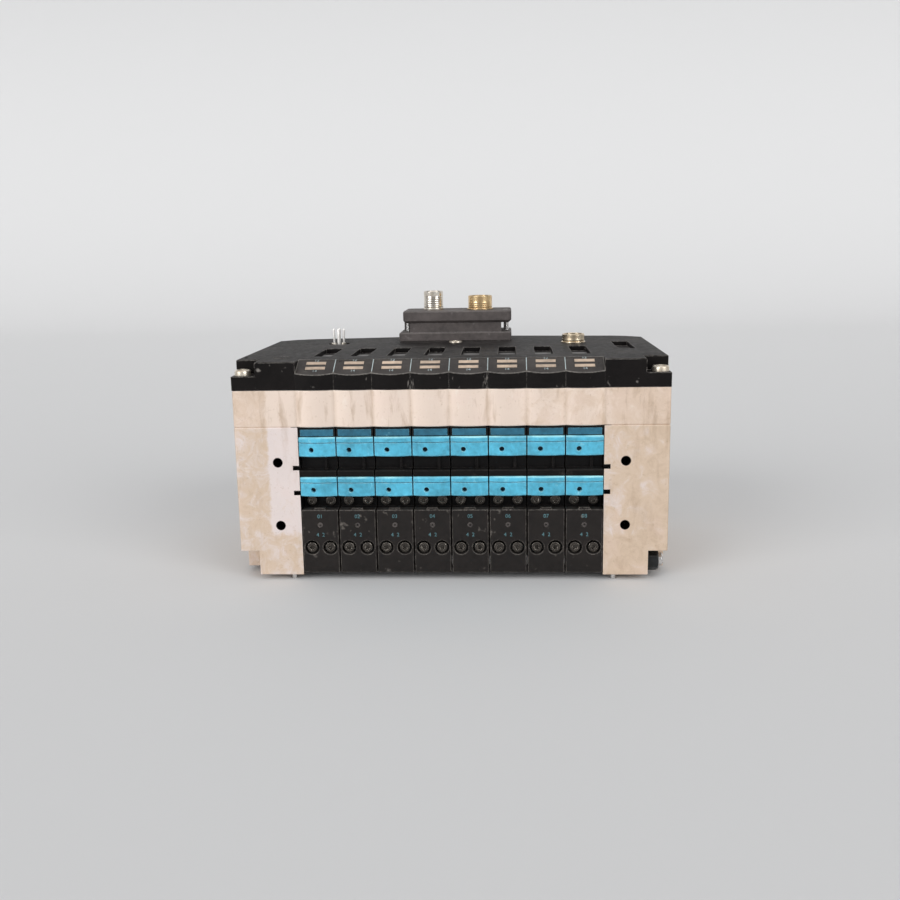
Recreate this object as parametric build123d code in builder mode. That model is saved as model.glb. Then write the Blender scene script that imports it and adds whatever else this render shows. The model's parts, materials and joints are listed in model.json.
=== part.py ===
"""Pneumatic valve island: eight valve slices between two end plates, with an electronics box on top.

+X runs along the row of slices, -Y is the operating face and +Z is up. The origin is the centre of the
bounding box at the level the island stands on. Sizes are in millimetres.
"""
import os

from build123d import *

# Row of slices and end plates
slice_count = 8
slice_pitch = 18.0
slice_gap = 0.6
end_width = 30.4
body_depth = 112.0
front_cover_depth = 5.0
pilot_depth = 8.0
bulge = 1.3

# Heights above the underside of the end plates
pin_stand = 2.6
slice_bottom = 0.9
slice_top = 71.9
plate_top = 72.4
frame_top = 90.0
housing_top = 103.35
cover_top = 32.1
bar_bottom = 48.4
bar_top = 51.5
label_bottom = 67.7

# Sloped display face of the electronics housing
slope_depth = 10.5
slope_drop = 5.65

# Fits
spool_radius = 4.0
spool_clearance = 0.06
spool_travel = 4.0
override_radius = 1.15
override_clearance = 0.05

# Worked out from the driving sizes
stack_half = slice_count * slice_pitch / 2
half_width = stack_half + end_width
slice_width = slice_pitch - slice_gap
housing_depth = 128.0
front = -(housing_depth - bulge) / 2
slice_centres = [(index + 0.5) * slice_pitch - stack_half for index in range(slice_count)]
bore_radius = spool_radius + spool_clearance
override_hole = override_radius + override_clearance

# Places inside a slice, as (depth, height)
bore_height = 19.0
channel_height = 42.0
supply_depth = 70.0
exhaust_depths = (46.0, 94.0)
port_depths = (58.0, 82.0)
supply_radius = 5.0
exhaust_radius = 4.5
port_radius = 5.9
port_length = 12.0
tie_rods_at = ((8.6, 5.2), (103.4, 5.2), (70.0, 62.0))
rod_radius = 3.0
rod_hole = 3.2
channel_depths = (supply_depth, *exhaust_depths)
passage_radius = 3.0
cover_screw_spacing = 8.8
cover_screw_height = 13.5
pilot_screw_spacing = 9.2
pilot_screw_height = 35.5
screw_head_radius = 2.5
screw_socket = 1.35
screw_socket_depth = 1.5
cover_screw_radius = 1.5
pilot_screw_radius = 1.25

# Upper and lower pilot stages: (name, underside of the blue cover, override x from centre, override height)
pilot_stages = (("upper", 58.2, -2.7, 61.5), ("lower", 38.9, -2.4, 42.1))
pilot_cover_height = 9.4
pilot_top_underside = pilot_stages[0][1]
coil_radius = 5.5
coil_start = 18.5
coil_length = 20.0

# End plates
pin_x = 77.0
pin_depths = (2.5, 109.5)
pin_radius = 1.2
pin_seat = 6.0
pin_rounding = 0.4
mount_hole_x = 82.1
mount_hole_heights = (24.5, 55.4)
mount_hole_radius = 2.25
notch_x = 93.2
notch_height = 11.8
notch_depth = 14.2
supply_port_radius = 7.6

# Electronics
cavity_top = 97.85
board_thickness = 1.6
bus_connector_depth = 109.0
power_at = (-65.3, 90.0)
extension_at = (62.5, 82.0)
socket_radius = 6.0
stub_bottom = 99.0
centre_screw_at = (-1.0, 88.5)
centre_screw_length = 24.0
corner_screw_at = (98.0, 6.0)
corner_seat = 96.6
corner_cut_x = 91.0
corner_cut_depth = 11.5
adapter_left = -32.5
adapter_right = 29.5
adapter_front = 94.0
adapter_depth = 30.0
adapter_heights = (103.35, 108.4, 113.5, 120.0)
adapter_screw_x = (-28.4, 26.6)
adapter_screw_radius = 1.5
adapter_head_depth = 2.4


def level(height):
    """Z of a height above the underside of the end plates."""
    return pin_stand + height


def behind(depth):
    """Y of a depth behind the operating face."""
    return front + depth


def plan(height):
    """Horizontal plane at a height."""
    return Plane.XY.offset(level(height))


def face(depth):
    """Upright plane at a depth, looking out of the operating face."""
    return Plane.XZ.offset(-behind(depth))


def side(x):
    """Upright plane across the row at x, with depth to the right."""
    return Plane.YZ.offset(x)


def save(piece, name):
    """Label a finished piece and write it."""
    piece.part.label = name
    export_step(piece.part, f"parts/{name}.step")


def slice_bulges():
    """Row of arcs that follows the slices along the operating face."""
    for x in slice_centres:
        left = (x - slice_pitch / 2, behind(0))
        right = (x + slice_pitch / 2, behind(0))
        ThreePointArc(left, (x, behind(0) - bulge), right)


os.makedirs("parts", exist_ok=True)

# Valve bodies: cast blocks with a spool bore, channels along the row and ports underneath
bar_depth = 0.2
bar_chamfer = 0.5
label_depth = 0.4
rib_offset = 3.4
rib_width = 1.0
rib_depth = 1.6
pilot_hole_depth = 7.0
for number, x in enumerate(slice_centres, start=1):
    with BuildPart() as valve_body:
        with BuildSketch(side(x - slice_width / 2)):
            with BuildLine():
                Polyline(
                    (behind(front_cover_depth), level(slice_bottom)),
                    (behind(front_cover_depth), level(cover_top)),
                    (behind(pilot_depth), level(cover_top)),
                    (behind(pilot_depth), level(bar_bottom)),
                    (behind(bar_depth), level(bar_bottom)),
                    (behind(bar_depth), level(bar_top - bar_chamfer)),
                    (behind(bar_depth + bar_chamfer), level(bar_top)),
                    (behind(front_cover_depth), level(bar_top)),
                    (behind(front_cover_depth), level(pilot_top_underside)),
                    (behind(pilot_depth), level(pilot_top_underside)),
                    (behind(pilot_depth), level(label_bottom)),
                    (behind(label_depth), level(label_bottom)),
                    (behind(label_depth), level(slice_top)),
                    (behind(body_depth), level(slice_top)),
                    (behind(body_depth), level(slice_bottom)),
                    close=True,
                )
            make_face()
        extrude(amount=slice_width)
        with BuildSketch(face(front_cover_depth)):
            with Locations((x + rib_offset, level((bar_top + pilot_top_underside) / 2))):
                Rectangle(rib_width, pilot_top_underside - bar_top)
        extrude(amount=rib_depth)
        with BuildSketch(face(front_cover_depth)):
            with Locations((x, level(bore_height))):
                Circle(bore_radius)
        extrude(amount=-body_depth, mode=Mode.SUBTRACT)
        with BuildSketch(side(x - slice_pitch / 2)):
            with Locations((behind(supply_depth), level(channel_height))):
                Circle(supply_radius)
            with Locations([(behind(depth), level(channel_height)) for depth in exhaust_depths]):
                Circle(exhaust_radius)
            with Locations([(behind(depth), level(height)) for depth, height in tie_rods_at]):
                Circle(rod_hole)
        extrude(amount=slice_pitch, mode=Mode.SUBTRACT)
        with BuildSketch(plan(bore_height)):
            with Locations([(x, behind(depth)) for depth in channel_depths]):
                Circle(passage_radius)
        extrude(amount=channel_height - bore_height, mode=Mode.SUBTRACT)
        with BuildSketch(plan(slice_bottom)):
            with Locations([(x, behind(depth)) for depth in port_depths]):
                Circle(port_radius)
        extrude(amount=port_length, mode=Mode.SUBTRACT)
        with BuildSketch(plan(slice_bottom)):
            with Locations([(x, behind(depth)) for depth in port_depths]):
                Circle(passage_radius)
        extrude(amount=bore_height - slice_bottom, mode=Mode.SUBTRACT)
        for stage, underside, override_x, override_height in pilot_stages:
            with BuildSketch(face(pilot_depth)):
                with Locations((x + override_x, level(override_height))):
                    Circle(override_hole)
            extrude(amount=-coil_start, mode=Mode.SUBTRACT)
            with BuildSketch(face(coil_start - 0.5)):
                with Locations((x, level(override_height))):
                    Circle(coil_radius + 0.1)
            extrude(amount=-coil_length - 0.5, mode=Mode.SUBTRACT)
        for depth, length in ((front_cover_depth, -11.0), (body_depth, 11.0)):
            with BuildSketch(face(depth)):
                with Locations((x, level(cover_screw_height))):
                    with GridLocations(cover_screw_spacing, 0, 2, 1):
                        Circle(cover_screw_radius)
            extrude(amount=length, mode=Mode.SUBTRACT)
        with BuildSketch(face(pilot_depth)):
            with Locations((x, level(pilot_screw_height))):
                with GridLocations(pilot_screw_spacing, 0, 2, 1):
                    Circle(pilot_screw_radius)
        extrude(amount=-pilot_hole_depth, mode=Mode.SUBTRACT)
    save(valve_body, f"valve_body_{number}")

# Spools: turned shuttles that slide in the bores and open the channels to the ports
spool_start = 7.0
land_starts = (0.0, 22.0, 45.0, 69.0, 89.0)
land_ends = (16.0, 34.0, 59.0, 81.0, 99.0)
waist_radius = 2.6
spool_chamfer = 0.4
for number, x in enumerate(slice_centres, start=1):
    with BuildPart() as spool:
        with BuildSketch(face(spool_start)):
            with Locations((x, level(bore_height))):
                Circle(waist_radius)
        extrude(amount=-land_ends[-1])
        for land_start, land_end in zip(land_starts, land_ends):
            with BuildSketch(face(spool_start + land_start)):
                with Locations((x, level(bore_height))):
                    Circle(spool_radius)
            extrude(amount=land_start - land_end)
        chamfer(spool.edges().filter_by(GeomType.CIRCLE).group_by(Axis.Y)[0], length=spool_chamfer)
        chamfer(spool.edges().filter_by(GeomType.CIRCLE).group_by(Axis.Y)[-1], length=spool_chamfer)
    save(spool, f"spool_{number}")

# Manual overrides: small stepped plungers behind the holes in the blue covers
override_start = 1.8
override_end = 14.0
collar_start = 5.3
collar_radius = 1.8
collar_length = 1.0
driver_slot = (1.4, 0.4)
driver_slot_depth = 0.4
for stage, underside, override_x, override_height in pilot_stages:
    for number, x in enumerate(slice_centres, start=1):
        centre = (x + override_x, level(override_height))
        with BuildPart() as override:
            with BuildSketch(face(override_start)):
                with Locations(centre):
                    Circle(override_radius)
            extrude(amount=override_start - override_end)
            with BuildSketch(face(collar_start)):
                with Locations(centre):
                    Circle(collar_radius)
            extrude(amount=-collar_length)
            with BuildSketch(face(override_start)):
                with Locations(centre):
                    Rectangle(*driver_slot)
            extrude(amount=-driver_slot_depth, mode=Mode.SUBTRACT)
        save(override, f"{stage}_override_{number}")

# Blue pilot covers: bowed front, a rounded rib along the top edge and a groove under it
cover_layers = ((0.0, 6.5, 0.3), (6.5, 6.9, 1.1), (6.9, pilot_cover_height, 0.0))
half_slice = slice_width / 2
rib_rounding = 1.1
pilot_edge = 0.4
collar_gap = 0.3
for stage, underside, override_x, override_height in pilot_stages:
    override_centres = [(x + override_x, level(override_height)) for x in slice_centres]
    with BuildPart() as pilot_covers:
        for start, end, setback in cover_layers:
            with BuildSketch(plan(underside + start)):
                for x in slice_centres:
                    with BuildLine():
                        ThreePointArc(
                            (x - half_slice, behind(setback)),
                            (x, behind(setback - bulge)),
                            (x + half_slice, behind(setback)),
                        )
                        Polyline(
                            (x + half_slice, behind(setback)),
                            (x + half_slice, behind(pilot_depth)),
                            (x - half_slice, behind(pilot_depth)),
                            (x - half_slice, behind(setback)),
                        )
                    make_face()
            extrude(amount=end - start)
        bowed = pilot_covers.edges().filter_by(GeomType.CIRCLE)
        fillet(bowed.group_by(Axis.Z)[-1], radius=rib_rounding)
        bowed = pilot_covers.edges().filter_by(GeomType.CIRCLE)
        chamfer(bowed.group_by(Axis.Z)[0], length=pilot_edge)
        with BuildSketch(face(-bulge)):
            with Locations(override_centres):
                Circle(override_hole)
        extrude(amount=-pilot_depth - bulge, mode=Mode.SUBTRACT)
        with BuildSketch(face(front_cover_depth)):
            with Locations(override_centres):
                Circle(collar_radius + collar_gap)
        extrude(amount=front_cover_depth - pilot_depth, mode=Mode.SUBTRACT)
    save(pilot_covers, f"{stage}_pilot_covers")

# Front covers: plates with a small tongue on top, a pressed mark and two counterbored screws each
screw_centres = [(x, level(cover_screw_height)) for x in slice_centres]
cover_height = cover_top - slice_bottom
cover_centres = [(x, level(slice_bottom + cover_height / 2)) for x in slice_centres]
counterbore_radius = 3.4
counterbore_depth = 3.2
counterbore_edge = 0.25
mark_height = 24.7
mark_radii = (1.1, 0.6)
mark_depth = 0.3
cover_corner = 0.3
cover_edge = 0.28
tongue_face = 2.5
tongue_depth = 2.2
tongue_size = (6.6, 1.8, 65)
with BuildPart() as front_covers:
    with BuildSketch(face(front_cover_depth)):
        with Locations(cover_centres):
            RectangleRounded(slice_width, cover_height, cover_corner)
    extrude(amount=front_cover_depth)
    chamfer(front_covers.faces().sort_by(Axis.Y)[:slice_count].edges(), length=cover_edge)
    with BuildSketch(face(tongue_face)):
        with Locations([(x, level(cover_top)) for x in slice_centres]):
            Trapezoid(*tongue_size)
    extrude(amount=tongue_depth)
    with BuildSketch(face(0)):
        with Locations(screw_centres):
            with GridLocations(cover_screw_spacing, 0, 2, 1):
                Circle(counterbore_radius)
    extrude(amount=-counterbore_depth, mode=Mode.SUBTRACT)
    rims = front_covers.edges().filter_by(GeomType.CIRCLE).filter_by(lambda edge: edge.radius > 3)
    chamfer(rims.group_by(Axis.Y)[0], length=counterbore_edge)
    with BuildSketch(face(0)):
        with Locations([(x, level(mark_height)) for x in slice_centres]):
            Circle(mark_radii[0])
            Circle(mark_radii[1], mode=Mode.SUBTRACT)
    extrude(amount=-mark_depth, mode=Mode.SUBTRACT)
    with BuildSketch(face(0)):
        with Locations(screw_centres):
            with GridLocations(cover_screw_spacing, 0, 2, 1):
                Circle(cover_screw_radius + 0.1)
    extrude(amount=-front_cover_depth, mode=Mode.SUBTRACT)
save(front_covers, "front_covers")

# Rear covers: plain plates at the back
rear_face = body_depth + front_cover_depth
with BuildPart() as rear_covers:
    with BuildSketch(face(rear_face)):
        with Locations(cover_centres):
            RectangleRounded(slice_width, cover_height, cover_corner)
    extrude(amount=front_cover_depth)
    chamfer(rear_covers.faces().sort_by(Axis.Y)[-slice_count:].edges(), length=cover_edge)
    for radius, depth in (
        (counterbore_radius, counterbore_depth),
        (cover_screw_radius + 0.1, front_cover_depth),
    ):
        with BuildSketch(face(rear_face)):
            with Locations(screw_centres):
                with GridLocations(cover_screw_spacing, 0, 2, 1):
                    Circle(radius)
        extrude(amount=depth, mode=Mode.SUBTRACT)
save(rear_covers, "rear_covers")

# Cover screws: cap heads with a six-sided socket, front and rear
head_sink = 0.4
head_length = counterbore_depth - head_sink
with BuildPart() as cover_screws:
    for head_face, inward in ((head_sink, -1), (rear_face - head_sink, 1)):
        for radius, length in ((screw_head_radius, head_length), (cover_screw_radius, 14.0)):
            with BuildSketch(face(head_face)):
                with Locations(screw_centres):
                    with GridLocations(cover_screw_spacing, 0, 2, 1):
                        Circle(radius)
            extrude(amount=inward * length)
        with BuildSketch(face(head_face)):
            with Locations(screw_centres):
                with GridLocations(cover_screw_spacing, 0, 2, 1):
                    RegularPolygon(screw_socket, 6)
        extrude(amount=inward * screw_socket_depth, mode=Mode.SUBTRACT)
save(cover_screws, "cover_screws")

# Pilot screws: two under each lower blue cover
pilot_centres = [(x, level(pilot_screw_height)) for x in slice_centres]
pilot_head_face = 5.4
with BuildPart() as pilot_screws:
    for start, radius, length in (
        (pilot_head_face, screw_head_radius, pilot_depth - pilot_head_face),
        (pilot_depth, pilot_screw_radius, 6.0),
    ):
        with BuildSketch(face(start)):
            with Locations(pilot_centres):
                with GridLocations(pilot_screw_spacing, 0, 2, 1):
                    Circle(radius)
        extrude(amount=-length)
    with BuildSketch(face(pilot_head_face)):
        with Locations(pilot_centres):
            with GridLocations(pilot_screw_spacing, 0, 2, 1):
                RegularPolygon(screw_socket, 6)
    extrude(amount=-screw_socket_depth, mode=Mode.SUBTRACT)
save(pilot_screws, "pilot_screws")

# Pilot coils: two solenoids inside each valve body
with BuildPart() as pilot_coils:
    with BuildSketch(face(coil_start)):
        for stage, underside, override_x, override_height in pilot_stages:
            with Locations([(x, level(override_height)) for x in slice_centres]):
                Circle(coil_radius)
    extrude(amount=-coil_length)
save(pilot_coils, "pilot_coils")

# Slice gaskets: thin sheets that seal the channels between neighbours
gasket_length = 84.0
gasket_height = 60.0
gasket_centre = (behind(56.0), level(40.0))
with BuildPart() as slice_gaskets:
    for index in range(slice_count + 1):
        seam = index * slice_pitch - stack_half
        left = max(seam - slice_gap / 2, -stack_half)
        right = min(seam + slice_gap / 2, stack_half)
        with BuildSketch(side(left)):
            with Locations(gasket_centre):
                Rectangle(gasket_length, gasket_height)
            with Locations([(behind(depth), level(channel_height)) for depth in channel_depths]):
                Circle(supply_radius, mode=Mode.SUBTRACT)
            with Locations((behind(tie_rods_at[2][0]), level(tie_rods_at[2][1]))):
                Circle(rod_hole, mode=Mode.SUBTRACT)
        extrude(amount=right - left)
save(slice_gaskets, "slice_gaskets")

# End plates: die-cast blocks, mirrored, with corner notches, slots, ports and bores along the depth
rod_thread_length = 16.0
nut_seat = notch_x
nut_half_width = 5.0
nut_length = 5.6
nut_recess_radius = 6.5
slot_heights = (40.55, 52.7)
slot_width = 3.0
slot_height = 2.2
slot_depth = 4.0
corner_screw_radius = 2.0
corner_screw_length = 31.0
screw_tip_gap = 1.2
end_rounding = 1.0
cast_edge = 0.35
for name, hand in (("left_end_plate", -1), ("right_end_plate", 1)):
    with BuildPart() as end_plate:
        with BuildSketch(side(hand * stack_half)):
            with Locations((behind(body_depth / 2), level(plate_top / 2))):
                Rectangle(body_depth, plate_top)
        extrude(amount=hand * end_width)
        fillet(end_plate.edges().filter_by(Axis.Z).group_by(Axis.X)[0 if hand < 0 else -1], radius=end_rounding)
        chamfer(end_plate.faces().sort_by(Axis.Z)[-1].edges(), length=cast_edge)
        with BuildSketch(side(hand * notch_x)):
            for depth in (notch_depth / 2, body_depth - notch_depth / 2):
                with Locations((behind(depth), level(notch_height / 2))):
                    Rectangle(notch_depth, notch_height)
        extrude(amount=hand * end_width, mode=Mode.SUBTRACT)
        with BuildSketch(face(0)):
            with Locations([(hand * mount_hole_x, level(height)) for height in mount_hole_heights]):
                Circle(mount_hole_radius)
        extrude(amount=-body_depth, mode=Mode.SUBTRACT)
        with BuildSketch(face(0)):
            slot_x = hand * (stack_half + slot_width / 2)
            with Locations([(slot_x, level(height)) for height in slot_heights]):
                Rectangle(slot_width, slot_height)
        extrude(amount=-slot_depth, mode=Mode.SUBTRACT)
        with BuildSketch(side(hand * stack_half)):
            with Locations((behind(supply_depth), level(channel_height))):
                Circle(supply_radius)
            with Locations([(behind(depth), level(channel_height)) for depth in exhaust_depths]):
                Circle(exhaust_radius)
        extrude(amount=hand * end_width, mode=Mode.SUBTRACT)
        with BuildSketch(side(hand * half_width)):
            with Locations((behind(supply_depth), level(channel_height))):
                Circle(supply_port_radius)
            with Locations([(behind(depth), level(channel_height)) for depth in exhaust_depths]):
                Circle(port_radius)
        extrude(amount=-hand * port_length, mode=Mode.SUBTRACT)
        with BuildSketch(side(hand * stack_half)):
            with Locations([(behind(depth), level(height)) for depth, height in tie_rods_at]):
                Circle(rod_radius if hand < 0 else rod_hole)
        extrude(amount=hand * (rod_thread_length if hand < 0 else end_width), mode=Mode.SUBTRACT)
        if hand > 0:
            with BuildSketch(side(nut_seat)):
                with Locations((behind(tie_rods_at[2][0]), level(tie_rods_at[2][1]))):
                    Circle(nut_recess_radius)
            extrude(amount=end_width, mode=Mode.SUBTRACT)
        with BuildSketch(Plane.XY):
            with Locations([(hand * pin_x, behind(depth)) for depth in pin_depths]):
                Circle(pin_radius)
        extrude(amount=pin_stand + pin_seat, mode=Mode.SUBTRACT)
        with BuildSketch(plan(plate_top)):
            with Locations((hand * corner_screw_at[0], behind(corner_screw_at[1]))):
                Circle(corner_screw_radius)
        extrude(amount=corner_seat - corner_screw_length - screw_tip_gap - plate_top, mode=Mode.SUBTRACT)
    save(end_plate, name)

# Locating pins: pressed into the end plates, the island stands on them
with BuildPart() as locating_pins:
    with BuildSketch(Plane.XY):
        with Locations([(x, behind(depth)) for x in (-pin_x, pin_x) for depth in pin_depths]):
            Circle(pin_radius)
    extrude(amount=pin_stand + pin_seat)
    fillet(locating_pins.faces().sort_by(Axis.Z)[:4].edges(), radius=pin_rounding)
save(locating_pins, "locating_pins")

# Tie rods and their hexagon nuts
rod_overhang = 2.4
rod_edge = 0.6
rod_places = [(behind(depth), level(height)) for depth, height in tie_rods_at]
with BuildPart() as tie_rods:
    with BuildSketch(side(-stack_half - rod_thread_length)):
        with Locations(rod_places):
            Circle(rod_radius)
    extrude(amount=stack_half + rod_thread_length + nut_seat + nut_length + rod_overhang)
    chamfer(tie_rods.faces().sort_by(Axis.X)[-3:].edges(), length=rod_edge)
save(tie_rods, "tie_rods")

with BuildPart() as tie_rod_nuts:
    with BuildSketch(side(nut_seat)):
        with Locations(rod_places):
            RegularPolygon(nut_half_width, 6, major_radius=False, rotation=30)
            Circle(rod_radius, mode=Mode.SUBTRACT)
    extrude(amount=nut_length)
save(tie_rod_nuts, "tie_rod_nuts")

# Metal frame: one casting on top of the slices, with a ribbed cell and a contact window for each slice
cell_width = 15.0
cell_depth = 80.0
cell_floor = 76.0
centre_boss_radius = 5.0
contact_gap = 0.4
window_depth = 30.0
contact_width = 10.0
contact_depth = 5.0
with BuildPart() as metal_frame:
    with BuildSketch(plan(plate_top)):
        with BuildLine():
            slice_bulges()
            Polyline(
                (stack_half, behind(0)),
                (half_width, behind(0)),
                (half_width, behind(body_depth)),
                (-half_width, behind(body_depth)),
                (-half_width, behind(0)),
                (-stack_half, behind(0)),
            )
        make_face()
    extrude(amount=frame_top - plate_top)
    upright = metal_frame.edges().filter_by(Axis.Z)
    fillet(upright.group_by(Axis.X)[0] + upright.group_by(Axis.X)[-1], radius=end_rounding)
    chamfer(metal_frame.faces().sort_by(Axis.Z)[0].edges(), length=cast_edge)
    chamfer(metal_frame.faces().sort_by(Axis.Z)[-1].edges(), length=cast_edge)
    with BuildSketch(plan(cell_floor)):
        with Locations([(x, behind(body_depth / 2)) for x in slice_centres]):
            Rectangle(cell_width, cell_depth)
        with Locations((centre_screw_at[0], behind(centre_screw_at[1]))):
            Circle(centre_boss_radius, mode=Mode.SUBTRACT)
    extrude(amount=frame_top - cell_floor, mode=Mode.SUBTRACT)
    with BuildSketch(plan(plate_top)):
        with Locations([(x, behind(window_depth)) for x in slice_centres]):
            Rectangle(contact_width + contact_gap, contact_depth + contact_gap)
    extrude(amount=cell_floor - plate_top, mode=Mode.SUBTRACT)
    with BuildSketch(plan(plate_top)):
        with Locations([(hand * corner_screw_at[0], behind(corner_screw_at[1])) for hand in (-1, 1)]):
            Circle(corner_screw_radius)
    extrude(amount=frame_top - plate_top, mode=Mode.SUBTRACT)
    with BuildSketch(plan(frame_top)):
        with Locations((centre_screw_at[0], behind(centre_screw_at[1]))):
            Circle(corner_screw_radius)
    extrude(amount=housing_top - centre_screw_length - screw_tip_gap - frame_top, mode=Mode.SUBTRACT)
save(metal_frame, "metal_frame")

# Contact blocks: plug-in contacts from the board down to each slice
with BuildPart() as contact_blocks:
    with BuildSketch(plan(slice_top)):
        with Locations([(x, behind(window_depth)) for x in slice_centres]):
            Rectangle(contact_width, contact_depth)
    extrude(amount=frame_top - slice_top)
save(contact_blocks, "contact_blocks")

# Circuit board under the electronics housing
board_centre = 61.0
cavity_width = 196.0
cavity_depth = 94.0
with BuildPart() as circuit_board:
    with BuildSketch(plan(frame_top)):
        with Locations((0, behind(board_centre))):
            Rectangle(cavity_width - 4, cavity_depth - 4)
        with Locations((centre_screw_at[0], behind(centre_screw_at[1]))):
            Circle(corner_screw_radius + 0.3, mode=Mode.SUBTRACT)
    extrude(amount=board_thickness)
save(circuit_board, "circuit_board")

# Electronics housing: moulded cover with a sloped display face and a stepped back edge
slope_plane = Plane(
    origin=(0, behind(0), level(housing_top - slope_drop)),
    x_dir=(1, 0, 0),
    z_dir=(0, -slope_drop, slope_depth),
)
slope_length = (slope_depth**2 + slope_drop**2) ** 0.5
slope_margin = 1.0
housing_edge = 0.4
window_width = 9.3
window_height = 2.1
window_rows = (0.37, 0.71)
window_sink = 0.8
window_stand = 0.15
pocket_width = 8.8
pocket_front = 23.0
pocket_back = 61.0
pocket_floor = 100.85
side_pocket_x = 87.0
side_pocket_depth = 65.0
with BuildPart() as electronics_housing:
    with BuildSketch(plan(frame_top)):
        with BuildLine():
            slice_bulges()
            Polyline(
                (stack_half, behind(0)),
                (half_width, behind(0)),
                (half_width, behind(110)),
                (94, behind(117)),
                (86, behind(120)),
                (64, behind(123)),
                (30, behind(housing_depth)),
                (-30, behind(housing_depth)),
                (-64, behind(123)),
                (-86, behind(120)),
                (-94, behind(117)),
                (-half_width, behind(110)),
                (-half_width, behind(0)),
                (-stack_half, behind(0)),
            )
        make_face()
    extrude(amount=housing_top - frame_top)
    with BuildSketch(side(-stack_half)):
        with BuildLine():
            Polyline(
                (behind(-slope_depth), level(housing_top - 2 * slope_drop)),
                (behind(slope_depth), level(housing_top)),
                (behind(slope_depth), level(housing_top + slope_margin)),
                (behind(-slope_depth), level(housing_top + slope_margin)),
                close=True,
            )
        make_face()
    extrude(amount=2 * stack_half, mode=Mode.SUBTRACT)
    with BuildSketch(plan(corner_seat)):
        for hand in (-1, 1):
            with Locations((hand * (corner_cut_x + half_width) / 2, behind(corner_cut_depth / 2))):
                Rectangle(half_width - corner_cut_x, corner_cut_depth)
    extrude(amount=housing_top - corner_seat, mode=Mode.SUBTRACT)
    chamfer(electronics_housing.faces().sort_by(Axis.Z)[-1].edges(), length=housing_edge)
    with BuildSketch(plan(pocket_floor)):
        with Locations([(x, behind((pocket_front + pocket_back) / 2)) for x in slice_centres]):
            Rectangle(pocket_width, pocket_back - pocket_front)
        with Locations((side_pocket_x, behind(side_pocket_depth))):
            Rectangle(pocket_width, pocket_back - pocket_front)
    extrude(amount=housing_top - pocket_floor, mode=Mode.SUBTRACT)
    with BuildSketch(slope_plane):
        for row in window_rows:
            with Locations([(x, row * slope_length) for x in slice_centres]):
                Rectangle(window_width, window_height)
    extrude(amount=-window_sink, mode=Mode.SUBTRACT)
    with BuildSketch(plan(frame_top)):
        with Locations((0, behind(board_centre))):
            Rectangle(cavity_width, cavity_depth)
    extrude(amount=cavity_top - frame_top, mode=Mode.SUBTRACT)
    with BuildSketch(plan(frame_top)):
        for x, depth in (power_at, extension_at):
            with Locations((x, behind(depth))):
                Circle(socket_radius)
        with Locations((centre_screw_at[0], behind(centre_screw_at[1]))):
            Circle(corner_screw_radius)
        with Locations([(hand * corner_screw_at[0], behind(corner_screw_at[1])) for hand in (-1, 1)]):
            Circle(corner_screw_radius)
    extrude(amount=housing_top - frame_top, mode=Mode.SUBTRACT)
save(electronics_housing, "electronics_housing")

# Light windows: two bars for each slice, set into the slope
with BuildPart() as led_windows:
    with BuildSketch(slope_plane.offset(-window_sink)):
        for row in window_rows:
            with Locations([(x, row * slope_length) for x in slice_centres]):
                Rectangle(window_width, window_height)
    extrude(amount=window_sink + window_stand)
save(led_windows, "led_windows")

# Housing screws: pan heads on the front corners and a low head in the middle of the top
corner_head = (3.9, 2.8, corner_screw_length)
centre_head = (3.6, 0.9, centre_screw_length)
head_rounding = 0.43
head_socket_radius = 1.5
head_socket_depth = 0.6
with BuildPart() as housing_screws:
    for x, depth, seat, head_radius, head_height, length in (
        (-corner_screw_at[0], corner_screw_at[1], corner_seat, *corner_head),
        (corner_screw_at[0], corner_screw_at[1], corner_seat, *corner_head),
        (centre_screw_at[0], centre_screw_at[1], housing_top, *centre_head),
    ):
        with BuildSketch(plan(seat)):
            with Locations((x, behind(depth))):
                Circle(head_radius)
        extrude(amount=head_height)
        top_centre = (x, behind(depth), level(seat + head_height))
        crown = housing_screws.faces().sort_by_distance(top_centre)[0]
        fillet(crown.edges(), radius=head_rounding * head_height)
        with BuildSketch(plan(seat + head_height)):
            with Locations((x, behind(depth))):
                RegularPolygon(head_socket_radius, 6)
        extrude(amount=-head_socket_depth * head_height, mode=Mode.SUBTRACT)
        with BuildSketch(plan(seat)):
            with Locations((x, behind(depth))):
                Circle(corner_screw_radius)
        extrude(amount=-length)
save(housing_screws, "housing_screws")

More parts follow.
